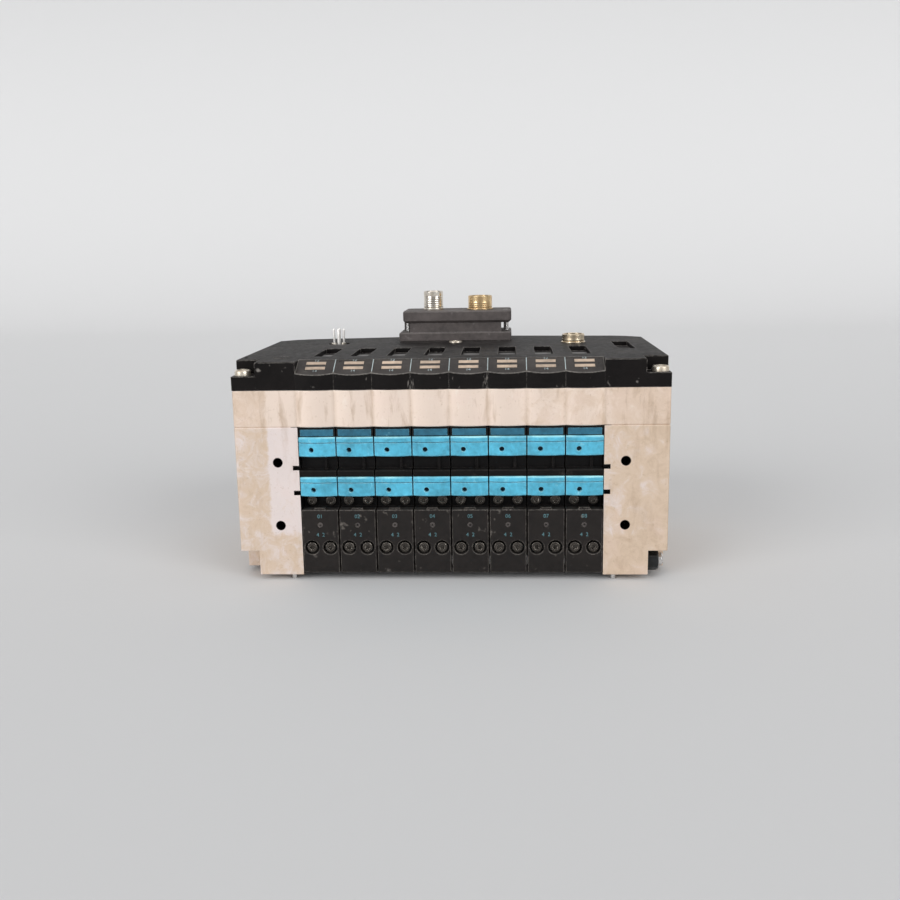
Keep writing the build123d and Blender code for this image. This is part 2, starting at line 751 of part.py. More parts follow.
# Bus adapter: flanged base, undercut middle and a cap with two round connectors
adapter_centre = (adapter_left + adapter_right) / 2
adapter_middle = adapter_front + adapter_depth / 2
base_bottom, base_top, cap_bottom, cap_top = adapter_heights
adapter_edge = 0.5
adapter_corner = 1.5
foot_height = 0.6
foot_inset = 0.8
neck_inset = 1.5
neck_left = -26.5
neck_right = 23.8
lug_left = -31.2
lug_front = 113.0
lug_back = 121.0
with BuildPart() as adapter_base:
    with BuildSketch(plan(base_bottom)):
        with Locations((adapter_centre, behind(adapter_middle))):
            Rectangle(adapter_right - adapter_left - 2 * foot_inset, adapter_depth - 2 * foot_inset)
    extrude(amount=foot_height)
    with BuildSketch(plan(base_bottom + foot_height)):
        with Locations((adapter_centre, behind(adapter_middle))):
            RectangleRounded(adapter_right - adapter_left, adapter_depth, adapter_corner)
    extrude(amount=base_top - base_bottom - foot_height)
    chamfer(adapter_base.faces().sort_by(Axis.Z)[-1].edges(), length=adapter_edge)
    with BuildSketch(plan(base_top)):
        with Locations(((neck_left + neck_right) / 2, behind(adapter_middle))):
            Rectangle(neck_right - neck_left, adapter_depth - 2 * neck_inset)
        with Locations(((lug_left + neck_left) / 2, behind((lug_front + lug_back) / 2))):
            Rectangle(neck_left - lug_left, lug_back - lug_front)
    extrude(amount=cap_bottom - base_top)
    with BuildSketch(plan(base_bottom)):
        with Locations([(x, behind(adapter_middle)) for x in adapter_screw_x]):
            Circle(adapter_screw_radius)
    extrude(amount=base_top - base_bottom, mode=Mode.SUBTRACT)
save(adapter_base, "adapter_base")

cap_centre = -0.35
cap_width = 59.7
cap_corner = 2.5
cap_lower_edge = 1.4
adapter_head_radius = 2.7
adapter_head_gap = 0.1
adapter_head_sink = 0.2
adapter_socket_radius = 1.3
adapter_socket_depth = 1.4
bus_in_x = -14.1
bus_in_radius = 5.4
bus_in_top = 130.5
socket_bottom = 116.0
shell_neck = 0.4
bus_out_x = 12.1
bus_out_radius = 6.7
bus_out_top = 127.7
with BuildPart() as adapter_cap:
    with BuildSketch(plan(cap_bottom)):
        with Locations((cap_centre, behind(adapter_middle))):
            RectangleRounded(cap_width, adapter_depth, cap_corner)
    extrude(amount=cap_top - cap_bottom)
    chamfer(adapter_cap.faces().sort_by(Axis.Z)[0].edges(), length=cap_lower_edge)
    chamfer(adapter_cap.faces().sort_by(Axis.Z)[-1].edges(), length=adapter_edge)
    with BuildSketch(plan(cap_top)):
        with Locations((bus_in_x, behind(bus_connector_depth))):
            Circle(bus_in_radius - shell_neck)
        with Locations((bus_out_x, behind(bus_connector_depth))):
            Circle(bus_out_radius - shell_neck)
    extrude(amount=socket_bottom - cap_top, mode=Mode.SUBTRACT)
    with BuildSketch(plan(cap_bottom)):
        with Locations([(x, behind(adapter_middle)) for x in adapter_screw_x]):
            Circle(adapter_screw_radius)
    extrude(amount=cap_top - cap_bottom, mode=Mode.SUBTRACT)
    with BuildSketch(plan(cap_top)):
        with Locations([(x, behind(adapter_middle)) for x in adapter_screw_x]):
            Circle(adapter_head_radius + adapter_head_gap)
    extrude(amount=-adapter_head_depth, mode=Mode.SUBTRACT)
save(adapter_cap, "adapter_cap")

with BuildPart() as adapter_screws:
    for start, radius, length in (
        (cap_top - adapter_head_sink, adapter_head_radius, adapter_head_depth - adapter_head_sink),
        (cap_top - adapter_head_depth, adapter_screw_radius, 14.0),
    ):
        with BuildSketch(plan(start)):
            with Locations([(x, behind(adapter_middle)) for x in adapter_screw_x]):
                Circle(radius)
        extrude(amount=-length)
    with BuildSketch(plan(cap_top - adapter_head_sink)):
        with Locations([(x, behind(adapter_middle)) for x in adapter_screw_x]):
            RegularPolygon(adapter_socket_radius, 6)
    extrude(amount=-adapter_socket_depth, mode=Mode.SUBTRACT)
save(adapter_screws, "adapter_screws")

# Round connectors: (name, x, depth, bottom, seat, top, outer radius, wall, collar radius, collar height)
shell_edge = 0.4
bus_in_at = (bus_in_x, bus_connector_depth)
bus_out_at = (bus_out_x, bus_connector_depth)
shells = (
    ("bus_in_connector", *bus_in_at, socket_bottom, cap_top, bus_in_top, bus_in_radius, 1.1, 5.85, 1.2),
    ("bus_out_connector", *bus_out_at, socket_bottom, cap_top, bus_out_top, bus_out_radius, 1.2, 7.2, 0.8),
    ("extension_ring", *extension_at, stub_bottom, housing_top, 108.0, socket_radius, 1.0, 6.5, 0.6),
)
for name, x, depth, bottom, seat, top, radius, wall, collar_radius, collar_height in shells:
    with BuildPart() as shell:
        for start, end, reach in ((bottom, seat, radius - shell_neck), (seat, top, radius)):
            with BuildSketch(plan(start)):
                with Locations((x, behind(depth))):
                    Circle(reach)
            extrude(amount=end - start)
        chamfer(shell.faces().sort_by(Axis.Z)[-1].edges(), length=shell_edge)
        with BuildSketch(plan(seat)):
            with Locations((x, behind(depth))):
                Circle(collar_radius)
        extrude(amount=collar_height)
        with BuildSketch(plan(bottom)):
            with Locations((x, behind(depth))):
                Circle(radius - wall)
        extrude(amount=top - bottom, mode=Mode.SUBTRACT)
    save(shell, name)

# Stub of the power connector's shell: sunken ring with two broken fragments standing at its front
stub_top = 102.0
stub_wall = 1.0
fragment_size = (0.8, 2.4)
fragment_height = 1.1
with BuildPart() as power_shell_stub:
    with BuildSketch(plan(stub_bottom)):
        with Locations((power_at[0], behind(power_at[1]))):
            Circle(socket_radius)
            Circle(socket_radius - stub_wall, mode=Mode.SUBTRACT)
    extrude(amount=stub_top - stub_bottom)
    with BuildSketch(plan(stub_top)):
        with Locations((power_at[0], behind(power_at[1]))):
            with PolarLocations(socket_radius - stub_wall / 2, 2, start_angle=-112, angular_range=64):
                Rectangle(*fragment_size)
    extrude(amount=housing_top + fragment_height - stub_top)
save(power_shell_stub, "power_shell_stub")

# Insulating inserts: (x, depth, bottom, top, radius, contact circle radius, contact count, contact radius)
inserts = (
    (*bus_in_at, socket_bottom, 124.0, bus_in_radius - 1.1, 2.2, 5, 0.4),
    (*bus_out_at, socket_bottom, 126.4, bus_out_radius - 1.2, 2.5, 4, 0.6),
    (*extension_at, stub_bottom, 106.9, socket_radius - 1.0, 2.5, 4, 0.6),
    (*power_at, stub_bottom, 102.6, socket_radius - stub_wall, 2.5, 4, 0.6),
)
with BuildPart() as connector_inserts:
    for x, depth, bottom, top, radius, circle, count, contact_radius in inserts:
        with BuildSketch(plan(bottom)):
            with Locations((x, behind(depth))):
                Circle(radius)
                with PolarLocations(circle, count):
                    Circle(contact_radius, mode=Mode.SUBTRACT)
        extrude(amount=top - bottom)
save(connector_inserts, "connector_inserts")

# Contact pins: short ones inside the bus connector, long bare ones in the broken power connector
contact_tip = 0.2
with BuildPart() as contact_pins:
    for insert, tip in ((inserts[0], 129.0), (inserts[3], 111.7)):
        x, depth, bottom, top, radius, circle, count, contact_radius = insert
        with BuildSketch(plan(bottom)):
            with Locations((x, behind(depth))):
                with PolarLocations(circle, count):
                    Circle(contact_radius)
        extrude(amount=tip - bottom)
        chamfer(contact_pins.faces().sort_by(Axis.Z)[-count:].edges(), length=contact_tip)
save(contact_pins, "contact_pins")
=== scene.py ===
import json
from math import atan2, cos, pi, radians, sin

import bmesh
import bpy
from mathutils import Matrix, Vector


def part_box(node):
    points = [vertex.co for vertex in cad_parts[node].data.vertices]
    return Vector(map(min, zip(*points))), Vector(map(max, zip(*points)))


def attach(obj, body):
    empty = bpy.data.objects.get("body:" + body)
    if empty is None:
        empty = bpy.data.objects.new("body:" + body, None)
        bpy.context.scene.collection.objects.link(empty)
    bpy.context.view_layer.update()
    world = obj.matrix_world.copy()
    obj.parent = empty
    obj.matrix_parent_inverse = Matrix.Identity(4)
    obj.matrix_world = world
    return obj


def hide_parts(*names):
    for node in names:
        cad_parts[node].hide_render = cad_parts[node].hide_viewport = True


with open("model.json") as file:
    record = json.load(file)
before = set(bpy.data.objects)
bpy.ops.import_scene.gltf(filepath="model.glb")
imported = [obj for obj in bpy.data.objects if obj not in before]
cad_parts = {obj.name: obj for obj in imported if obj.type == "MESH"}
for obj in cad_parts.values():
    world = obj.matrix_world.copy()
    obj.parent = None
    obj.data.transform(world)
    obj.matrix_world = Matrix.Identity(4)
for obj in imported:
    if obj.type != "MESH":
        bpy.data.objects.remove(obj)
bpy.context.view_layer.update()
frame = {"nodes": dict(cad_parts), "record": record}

mm = 0.001
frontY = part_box("front_covers")[0].y        # operating face of the slices
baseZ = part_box("left_end_plate")[0].z       # underside of the end plates
valveBoxes = [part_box(f"valve_body_{number}") for number in range(1, 9)]
sliceX = [(low.x + high.x) / 2 for low, high in valveBoxes]
slicePitch = sliceX[1] - sliceX[0]
facingOut = Matrix.Rotation(radians(90), 4, "X")      # turns +Z towards the operating face
facingBack = Matrix.Rotation(radians(-90), 4, "X")
housingTop = 103.35                         # level of the top of the housing over the plates, in mm


def place(x, depth, height):  # x in metres, depth behind the face and height over the plates in mm
    return Vector((x, frontY + depth * mm, baseZ + height * mm))


def newGroup(name, inputs, outputs):
    group = bpy.data.node_groups.new(name, "ShaderNodeTree")
    for socketName, value in inputs.items():
        socket = group.interface.new_socket(name=socketName, in_out="INPUT", socket_type="NodeSocketFloat")
        socket.default_value = value
    for socketName, kind in outputs.items():
        group.interface.new_socket(name=socketName, in_out="OUTPUT", socket_type=kind)
    start = group.nodes.new("NodeGroupInput")
    end = group.nodes.new("NodeGroupOutput")
    return group, start, end


def addNode(tree, kind, settings=None, **values):  # values name input sockets, _ stands for a space
    node = tree.nodes.new(kind)
    for key, value in (settings or {}).items():
        setattr(node, key, value)
    for key, value in values.items():
        node.inputs[key.replace("_", " ")].default_value = value
    return node


def mathNode(tree, operation, first, second=None, clamp=False):
    node = tree.nodes.new("ShaderNodeMath")
    node.operation = operation
    node.use_clamp = clamp
    for index, value in enumerate((first, second)):
        if value is None:
            continue
        if isinstance(value, (int, float)):
            node.inputs[index].default_value = value
        else:
            tree.links.new(value, node.inputs[index])
    return node.outputs[0]


def remap(tree, value, low, high, outLow=0.0, outHigh=1.0, smooth=False):
    node = tree.nodes.new("ShaderNodeMapRange")
    node.interpolation_type = "SMOOTHSTEP" if smooth else "LINEAR"
    tree.links.new(value, node.inputs["Value"])
    for key, number in (("From Min", low), ("From Max", high), ("To Min", outLow), ("To Max", outHigh)):
        if isinstance(number, (int, float)):
            node.inputs[key].default_value = number
        else:
            tree.links.new(number, node.inputs[key])
    return node.outputs["Result"]


def noise(tree, scale, detail=3.0, roughness=0.55, distortion=0.0, vector=None):
    node = addNode(tree, "ShaderNodeTexNoise", Scale=scale if isinstance(scale, (int, float)) else 1.0,
                   Detail=detail, Roughness=roughness, Distortion=distortion)
    if not isinstance(scale, (int, float)):
        tree.links.new(scale, node.inputs["Scale"])
    if vector is None:
        vector = tree.nodes.new("ShaderNodeTexCoord").outputs["Object"]
    tree.links.new(vector, node.inputs["Vector"])
    return node.outputs["Fac"]


def buildWearAndHighlightGroup():  # mask for edge wear and painted edge highlights: bright on outer edges, broken up by noise
    group, start, end = newGroup("edgeWearAndHighlight", {"Radius": 0.0004, "Strength": 1.0, "Break Scale": 600.0},
                                 {"Mask": "NodeSocketFloat", "Normal": "NodeSocketVector"})
    bevel = addNode(group, "ShaderNodeBevel", {"samples": 4})
    group.links.new(start.outputs["Radius"], bevel.inputs["Radius"])
    geometry = group.nodes.new("ShaderNodeNewGeometry")
    dot = addNode(group, "ShaderNodeVectorMath", {"operation": "DOT_PRODUCT"})
    group.links.new(bevel.outputs["Normal"], dot.inputs[0])
    group.links.new(geometry.outputs["Normal"], dot.inputs[1])
    edge = remap(group, dot.outputs["Value"], 0.995, 0.86)
    breakup = remap(group, noise(group, start.outputs["Break Scale"], 4.0, 0.6), 0.35, 0.62)
    wornHighlight = mathNode(group, "MULTIPLY", edge, breakup)
    wornHighlight = mathNode(group, "MULTIPLY", wornHighlight, start.outputs["Strength"], True)
    group.links.new(wornHighlight, end.inputs["Mask"])
    group.links.new(bevel.outputs["Normal"], end.inputs["Normal"])
    return group


def buildGrainGroup():  # fine moulded or cast grain, with a slow cloud over it
    group, start, end = newGroup("surfaceGrain", {"Scale": 900.0, "Cloud Scale": 40.0},
                                 {"Height": "NodeSocketFloat", "Cloud": "NodeSocketFloat"})
    fine = noise(group, start.outputs["Scale"], 2.0, 0.6)
    cloud = noise(group, start.outputs["Cloud Scale"], 5.0, 0.62, 0.3)
    group.links.new(fine, end.inputs["Height"])
    group.links.new(cloud, end.inputs["Cloud"])
    return group


def buildDustAndHighlightGroup():  # dust on faces that look up, in patches; on the blue covers the same mask paints a highlight
    group, start, end = newGroup("dustFilmAndHighlight", {"Amount": 0.3, "Patch Scale": 60.0},
                                 {"Mask": "NodeSocketFloat"})
    geometry = group.nodes.new("ShaderNodeNewGeometry")
    split = group.nodes.new("ShaderNodeSeparateXYZ")
    group.links.new(geometry.outputs["Normal"], split.inputs[0])
    upward = remap(group, split.outputs["Z"], 0.25, 0.9)
    patches = remap(group, noise(group, start.outputs["Patch Scale"], 6.0, 0.68, 0.6), 0.42, 0.7)
    film = mathNode(group, "MULTIPLY", upward, mathNode(group, "ADD", patches, 0.25))
    film = mathNode(group, "MULTIPLY", film, start.outputs["Amount"], True)
    group.links.new(film, end.inputs["Mask"])
    return group


def buildScratchGroup():  # thin scratches in two directions
    group, start, end = newGroup("fineScratches", {"Amount": 0.3, "Scale": 140.0},
                                 {"Mask": "NodeSocketFloat"})
    coordinates = group.nodes.new("ShaderNodeTexCoord")
    masks = []
    for turn, stretch in ((0.5, 14.0), (-0.9, 20.0)):
        mapping = addNode(group, "ShaderNodeMapping", Rotation=(0.4, 0.3, turn), Scale=(1.0, stretch, 1.0))
        group.links.new(coordinates.outputs["Object"], mapping.inputs["Vector"])
        lines = noise(group, start.outputs["Scale"], 3.0, 0.7, 0.2, mapping.outputs["Vector"])
        masks.append(remap(group, lines, 0.66, 0.74))
    both = mathNode(group, "MAXIMUM", masks[0], masks[1])
    group.links.new(mathNode(group, "MULTIPLY", both, start.outputs["Amount"], True), end.inputs["Mask"])
    return group


effectGroups = {
    "wearHighlight": buildWearAndHighlightGroup(),
    "grain": buildGrainGroup(),
    "dustAndHighlight": buildDustAndHighlightGroup(),
    "scratches": buildScratchGroup(),
}
print("shader groups built")


def effect(tree, name, **values):
    node = tree.nodes.new("ShaderNodeGroup")
    node.node_tree = effectGroups[name]
    for key, value in values.items():
        node.inputs[key.replace("_", " ")].default_value = value
    return node


def mixColour(tree, factor, first, second, blend="MIX"):
    node = tree.nodes.new("ShaderNodeMix")
    node.data_type = "RGBA"
    node.blend_type = blend
    for socket, value in ((node.inputs["Factor"], factor), (node.inputs[6], first), (node.inputs[7], second)):
        if isinstance(value, (int, float)):
            socket.default_value = value
        elif isinstance(value, tuple):
            socket.default_value = (*value, 1.0)
        else:
            tree.links.new(value, socket)
    return node.outputs[2]


def emptyMaterial(name, metallic=0.0, roughness=0.5):
    material = bpy.data.materials.new(name)
    material.use_nodes = True
    tree = material.node_tree
    shader = tree.nodes["Principled BSDF"]
    shader.inputs["Metallic"].default_value = metallic
    shader.inputs["Roughness"].default_value = roughness
    return material, tree, shader


def addBump(tree, shader, height, strength, distance, normal=None):
    bump = addNode(tree, "ShaderNodeBump", Strength=strength, Distance=distance)
    tree.links.new(height, bump.inputs["Height"])
    if normal is not None:
        tree.links.new(normal, bump.inputs["Normal"])
    tree.links.new(bump.outputs["Normal"], shader.inputs["Normal"])


plasticLooks = {  # colour, worn edge and painted edge highlight colour, roughness, specular, grain bump, edge wear and painted edge highlight, dust (a painted highlight on upward faces of the blue), scratches
    "housingPlastic": ((0.0062, 0.0050, 0.0048), (0.400, 0.370, 0.340), 0.56, 0.12, 0.45, 1.00, 0.16, 0.50),
    "slicePlastic": ((0.0100, 0.0076, 0.0066), (0.290, 0.260, 0.230), 0.44, 0.28, 0.45, 1.00, 0.16, 0.40),
    "adapterPlastic": ((0.082, 0.070, 0.067), (0.300, 0.285, 0.275), 0.62, 0.34, 0.80, 0.70, 0.24, 0.35),
    "blackCasting": ((0.0036, 0.0030, 0.0030), (0.120, 0.100, 0.090), 0.45, 0.16, 0.55, 0.35, 0.06, 0.15),
    "insertPlastic": ((0.008, 0.008, 0.009), (0.080, 0.080, 0.080), 0.50, 0.30, 0.15, 0.20, 0.08, 0.10),
    "bluePlastic": ((0.072, 0.395, 0.560), (0.520, 0.900, 0.950), 0.36, 0.50, 0.45, 0.90, 1.30, 0.30),
    "labelBlue": ((0.020, 0.120, 0.190), (0.240, 0.560, 0.660), 0.42, 0.40, 0.20, 0.80, 0.10, 0.60),
    "paleMark": ((0.500, 0.600, 0.610), (0.600, 0.740, 0.760), 0.55, 0.40, 0.10, 0.10, 0.00, 0.30),
    "figureMark": ((0.110, 0.240, 0.270), (0.160, 0.300, 0.330), 0.60, 0.30, 0.10, 0.10, 0.05, 0.40),
    "pocketGrey": ((0.170, 0.165, 0.160), (0.360, 0.350, 0.340), 0.60, 0.40, 0.12, 0.30, 0.20, 0.30),
    # pale rim colour: a painted highlight along the display field edges
    "rimHighlightGrey": ((0.150, 0.140, 0.125), (0.560, 0.530, 0.490), 0.40, 0.40, 0.12, 0.60, 0.10, 0.30),
    "displayFilm": ((0.0240, 0.0190, 0.0165), (0.200, 0.185, 0.170), 0.34, 0.40, 0.30, 0.40, 0.12, 0.60),
    "pressedMark": ((0.060, 0.050, 0.048), (0.260, 0.230, 0.220), 0.50, 0.40, 0.10, 0.60, 0.05, 0.10),
    "lightWindow": ((0.500, 0.385, 0.290), (0.740, 0.620, 0.480), 0.38, 0.40, 0.35, 0.45, 0.05, 0.30),
    "boardGreen": ((0.012, 0.080, 0.036), (0.100, 0.200, 0.120), 0.35, 0.50, 0.10, 0.20, 0.10, 0.10),
    "coilVarnish": ((0.160, 0.055, 0.018), (0.300, 0.140, 0.060), 0.35, 0.50, 0.40, 0.20, 0.00, 0.10),
    "gasketRubber": ((0.010, 0.010, 0.010), (0.060, 0.060, 0.060), 0.75, 0.30, 0.30, 0.20, 0.05, 0.00),
}
greyDust = (0.250, 0.230, 0.215)
dustAndHighlightColours = {"bluePlastic": (0.420, 0.860, 0.930)}  # painted highlight: the blue is lighter where it looks up


def plasticMaterial(name):
    colour, wornHighlightColour, roughness, specular, bump, wearHighlightAmount, dustAndHighlightAmount, scratchAmount = plasticLooks[name]
    material, tree, shader = emptyMaterial(name, roughness=roughness)
    shader.inputs["Specular IOR Level"].default_value = specular
    grain = effect(tree, "grain", Scale=2200.0, Cloud_Scale=70.0)
    mottle = effect(tree, "grain", Scale=5200.0, Cloud_Scale=430.0)
    wearHighlight = effect(tree, "wearHighlight", Radius=0.00045, Strength=wearHighlightAmount, Break_Scale=700.0)
    dustAndHighlight = effect(tree, "dustAndHighlight", Amount=dustAndHighlightAmount, Patch_Scale=45.0)
    scratches = effect(tree, "scratches", Amount=scratchAmount, Scale=110.0)
    darker = tuple(channel * 0.62 for channel in colour)
    lighter = tuple(min(channel * 1.42, 1.0) for channel in colour)
    cloud = remap(tree, grain.outputs["Cloud"], 0.34, 0.66)
    patches = remap(tree, mottle.outputs["Cloud"], 0.30, 0.70)
    shade = mathNode(tree, "MULTIPLY", mathNode(tree, "ADD", cloud, patches), 0.5)
    base = mixColour(tree, shade, darker, lighter)
    base = mixColour(tree, scratches.outputs["Mask"], base, wornHighlightColour)
    # dust on upward faces; on the blue this is a painted highlight
    base = mixColour(tree, dustAndHighlight.outputs["Mask"], base, dustAndHighlightColours.get(name, greyDust))
    # edges lightened as wear and as a painted edge highlight
    base = mixColour(tree, wearHighlight.outputs["Mask"], base, wornHighlightColour)
    tree.links.new(base, shader.inputs["Base Color"])
    roughened = remap(tree, patches, 0.0, 1.0, roughness - 0.10, roughness + 0.10)
    roughened = mathNode(tree, "ADD", roughened, mathNode(tree, "MULTIPLY", dustAndHighlight.outputs["Mask"], 0.3), True)
    tree.links.new(roughened, shader.inputs["Roughness"])
    addBump(tree, shader, grain.outputs["Height"], bump, 0.00012, wearHighlight.outputs["Normal"])
    return material


metalLooks = {  # colour, tarnish colour, worn and painted edge highlight colour, metallic, roughness, bump, tarnish amount
    "nickelPlate": ((0.800, 0.745, 0.660), (0.400, 0.300, 0.190), (0.94, 0.91, 0.86), 1.00, 0.16, 0.08, 0.35),
    "screwNickel": ((0.820, 0.750, 0.640), (0.380, 0.280, 0.170), (0.95, 0.90, 0.82), 0.80, 0.26, 0.20, 0.55),
    "turnedBrass": ((0.800, 0.600, 0.340), (0.360, 0.190, 0.075), (0.96, 0.84, 0.62), 1.00, 0.19, 0.10, 0.50),
    "paleBrass": ((0.820, 0.700, 0.520), (0.420, 0.290, 0.160), (0.96, 0.88, 0.74), 1.00, 0.22, 0.12, 0.45),
    "brightSteel": ((0.700, 0.690, 0.680), (0.300, 0.270, 0.240), (0.90, 0.90, 0.88), 0.95, 0.25, 0.20, 0.35),
    "darkSteel": ((0.075, 0.066, 0.058), (0.022, 0.019, 0.017), (0.72, 0.66, 0.57), 0.85, 0.27, 0.35, 0.60),
    "blackSteel": ((0.020, 0.022, 0.023), (0.008, 0.008, 0.008), (0.20, 0.20, 0.19), 0.50, 0.34, 0.30, 0.50),
    "pinTin": ((0.900, 0.880, 0.850), (0.500, 0.440, 0.360), (0.96, 0.95, 0.93), 0.70, 0.30, 0.10, 0.20),
    "spoolSteel": ((0.560, 0.560, 0.550), (0.360, 0.340, 0.300), (0.80, 0.80, 0.78), 0.95, 0.25, 0.15, 0.25),
    "overrideMetal": ((0.030, 0.036, 0.042), (0.012, 0.014, 0.016), (0.30, 0.30, 0.30), 0.60, 0.38, 0.25, 0.50),
}


def metalMaterial(name):
    colour, tarnishColour, wornHighlightColour, metallic, roughness, bump, tarnishAmount = metalLooks[name]
    material, tree, shader = emptyMaterial(name, metallic=metallic, roughness=roughness)
    grain = effect(tree, "grain", Scale=3000.0, Cloud_Scale=260.0)
    wearHighlight = effect(tree, "wearHighlight", Radius=0.0003, Strength=0.9, Break_Scale=1500.0)
    tarnish = remap(tree, grain.outputs["Cloud"], 0.42, 0.66, 0.0, tarnishAmount, True)
    base = mixColour(tree, tarnish, colour, tarnishColour)
    # edges lightened as wear and as a painted edge highlight
    base = mixColour(tree, wearHighlight.outputs["Mask"], base, wornHighlightColour)
    tree.links.new(base, shader.inputs["Base Color"])
    tree.links.new(remap(tree, tarnish, 0.0, 1.0, roughness, roughness + 0.34), shader.inputs["Roughness"])
    addBump(tree, shader, grain.outputs["Height"], bump, 0.00008, wearHighlight.outputs["Normal"])
    return material


castingLooks = {  # colours of the bare casting from pale to stained, also used for painted shade, and how far the stains and painted shade reach
    "frameCasting": {"pale": (0.840, 0.700, 0.600), "warm": (0.740, 0.585, 0.465),
                     "stainAndShade": (0.400, 0.270, 0.165), "stainAndShadeAmount": 0.60, "streaks": 0.55, "seams": 0.50,
                     "holes": ()},
    "plateCasting": {"pale": (0.800, 0.705, 0.675), "warm": (0.700, 0.550, 0.420),
                     "stainAndShade": (0.380, 0.250, 0.145), "stainAndShadeAmount": 0.62, "streaks": 0.30, "seams": 0.0,
                     "holes": ((82.1, 24.5), (82.1, 55.4))},
}
leftHighlightPatch = {"inner": 0.0845, "outer": 0.0875, "low": 19.0, "high": 25.0}  # painted highlight: the left plate is paler here
# hole and slot are painted shade inside the bolt holes and slots
castingTints = {"cloud": (0.760, 0.590, 0.540), "scratch": (0.92, 0.84, 0.76), "wornHighlight": (0.96, 0.89, 0.82),
                "holeShade": (0.006, 0.004, 0.003), "slot": (0.005, 0.004, 0.004)}
castingReach = {  # in metres: across the row, behind the face, and from the middle of a bolt hole
    "rightShade": (0.020, 0.108), "rear": (0.004, 0.060), "row": (0.0745, 0.0725), "seam": (0.0016, 0.0),
    "holeShade": (0.00245, 0.00228), "slot": (0.07525, 0.0751), "slotShadeDepth": (0.0001, 0.0003),
}


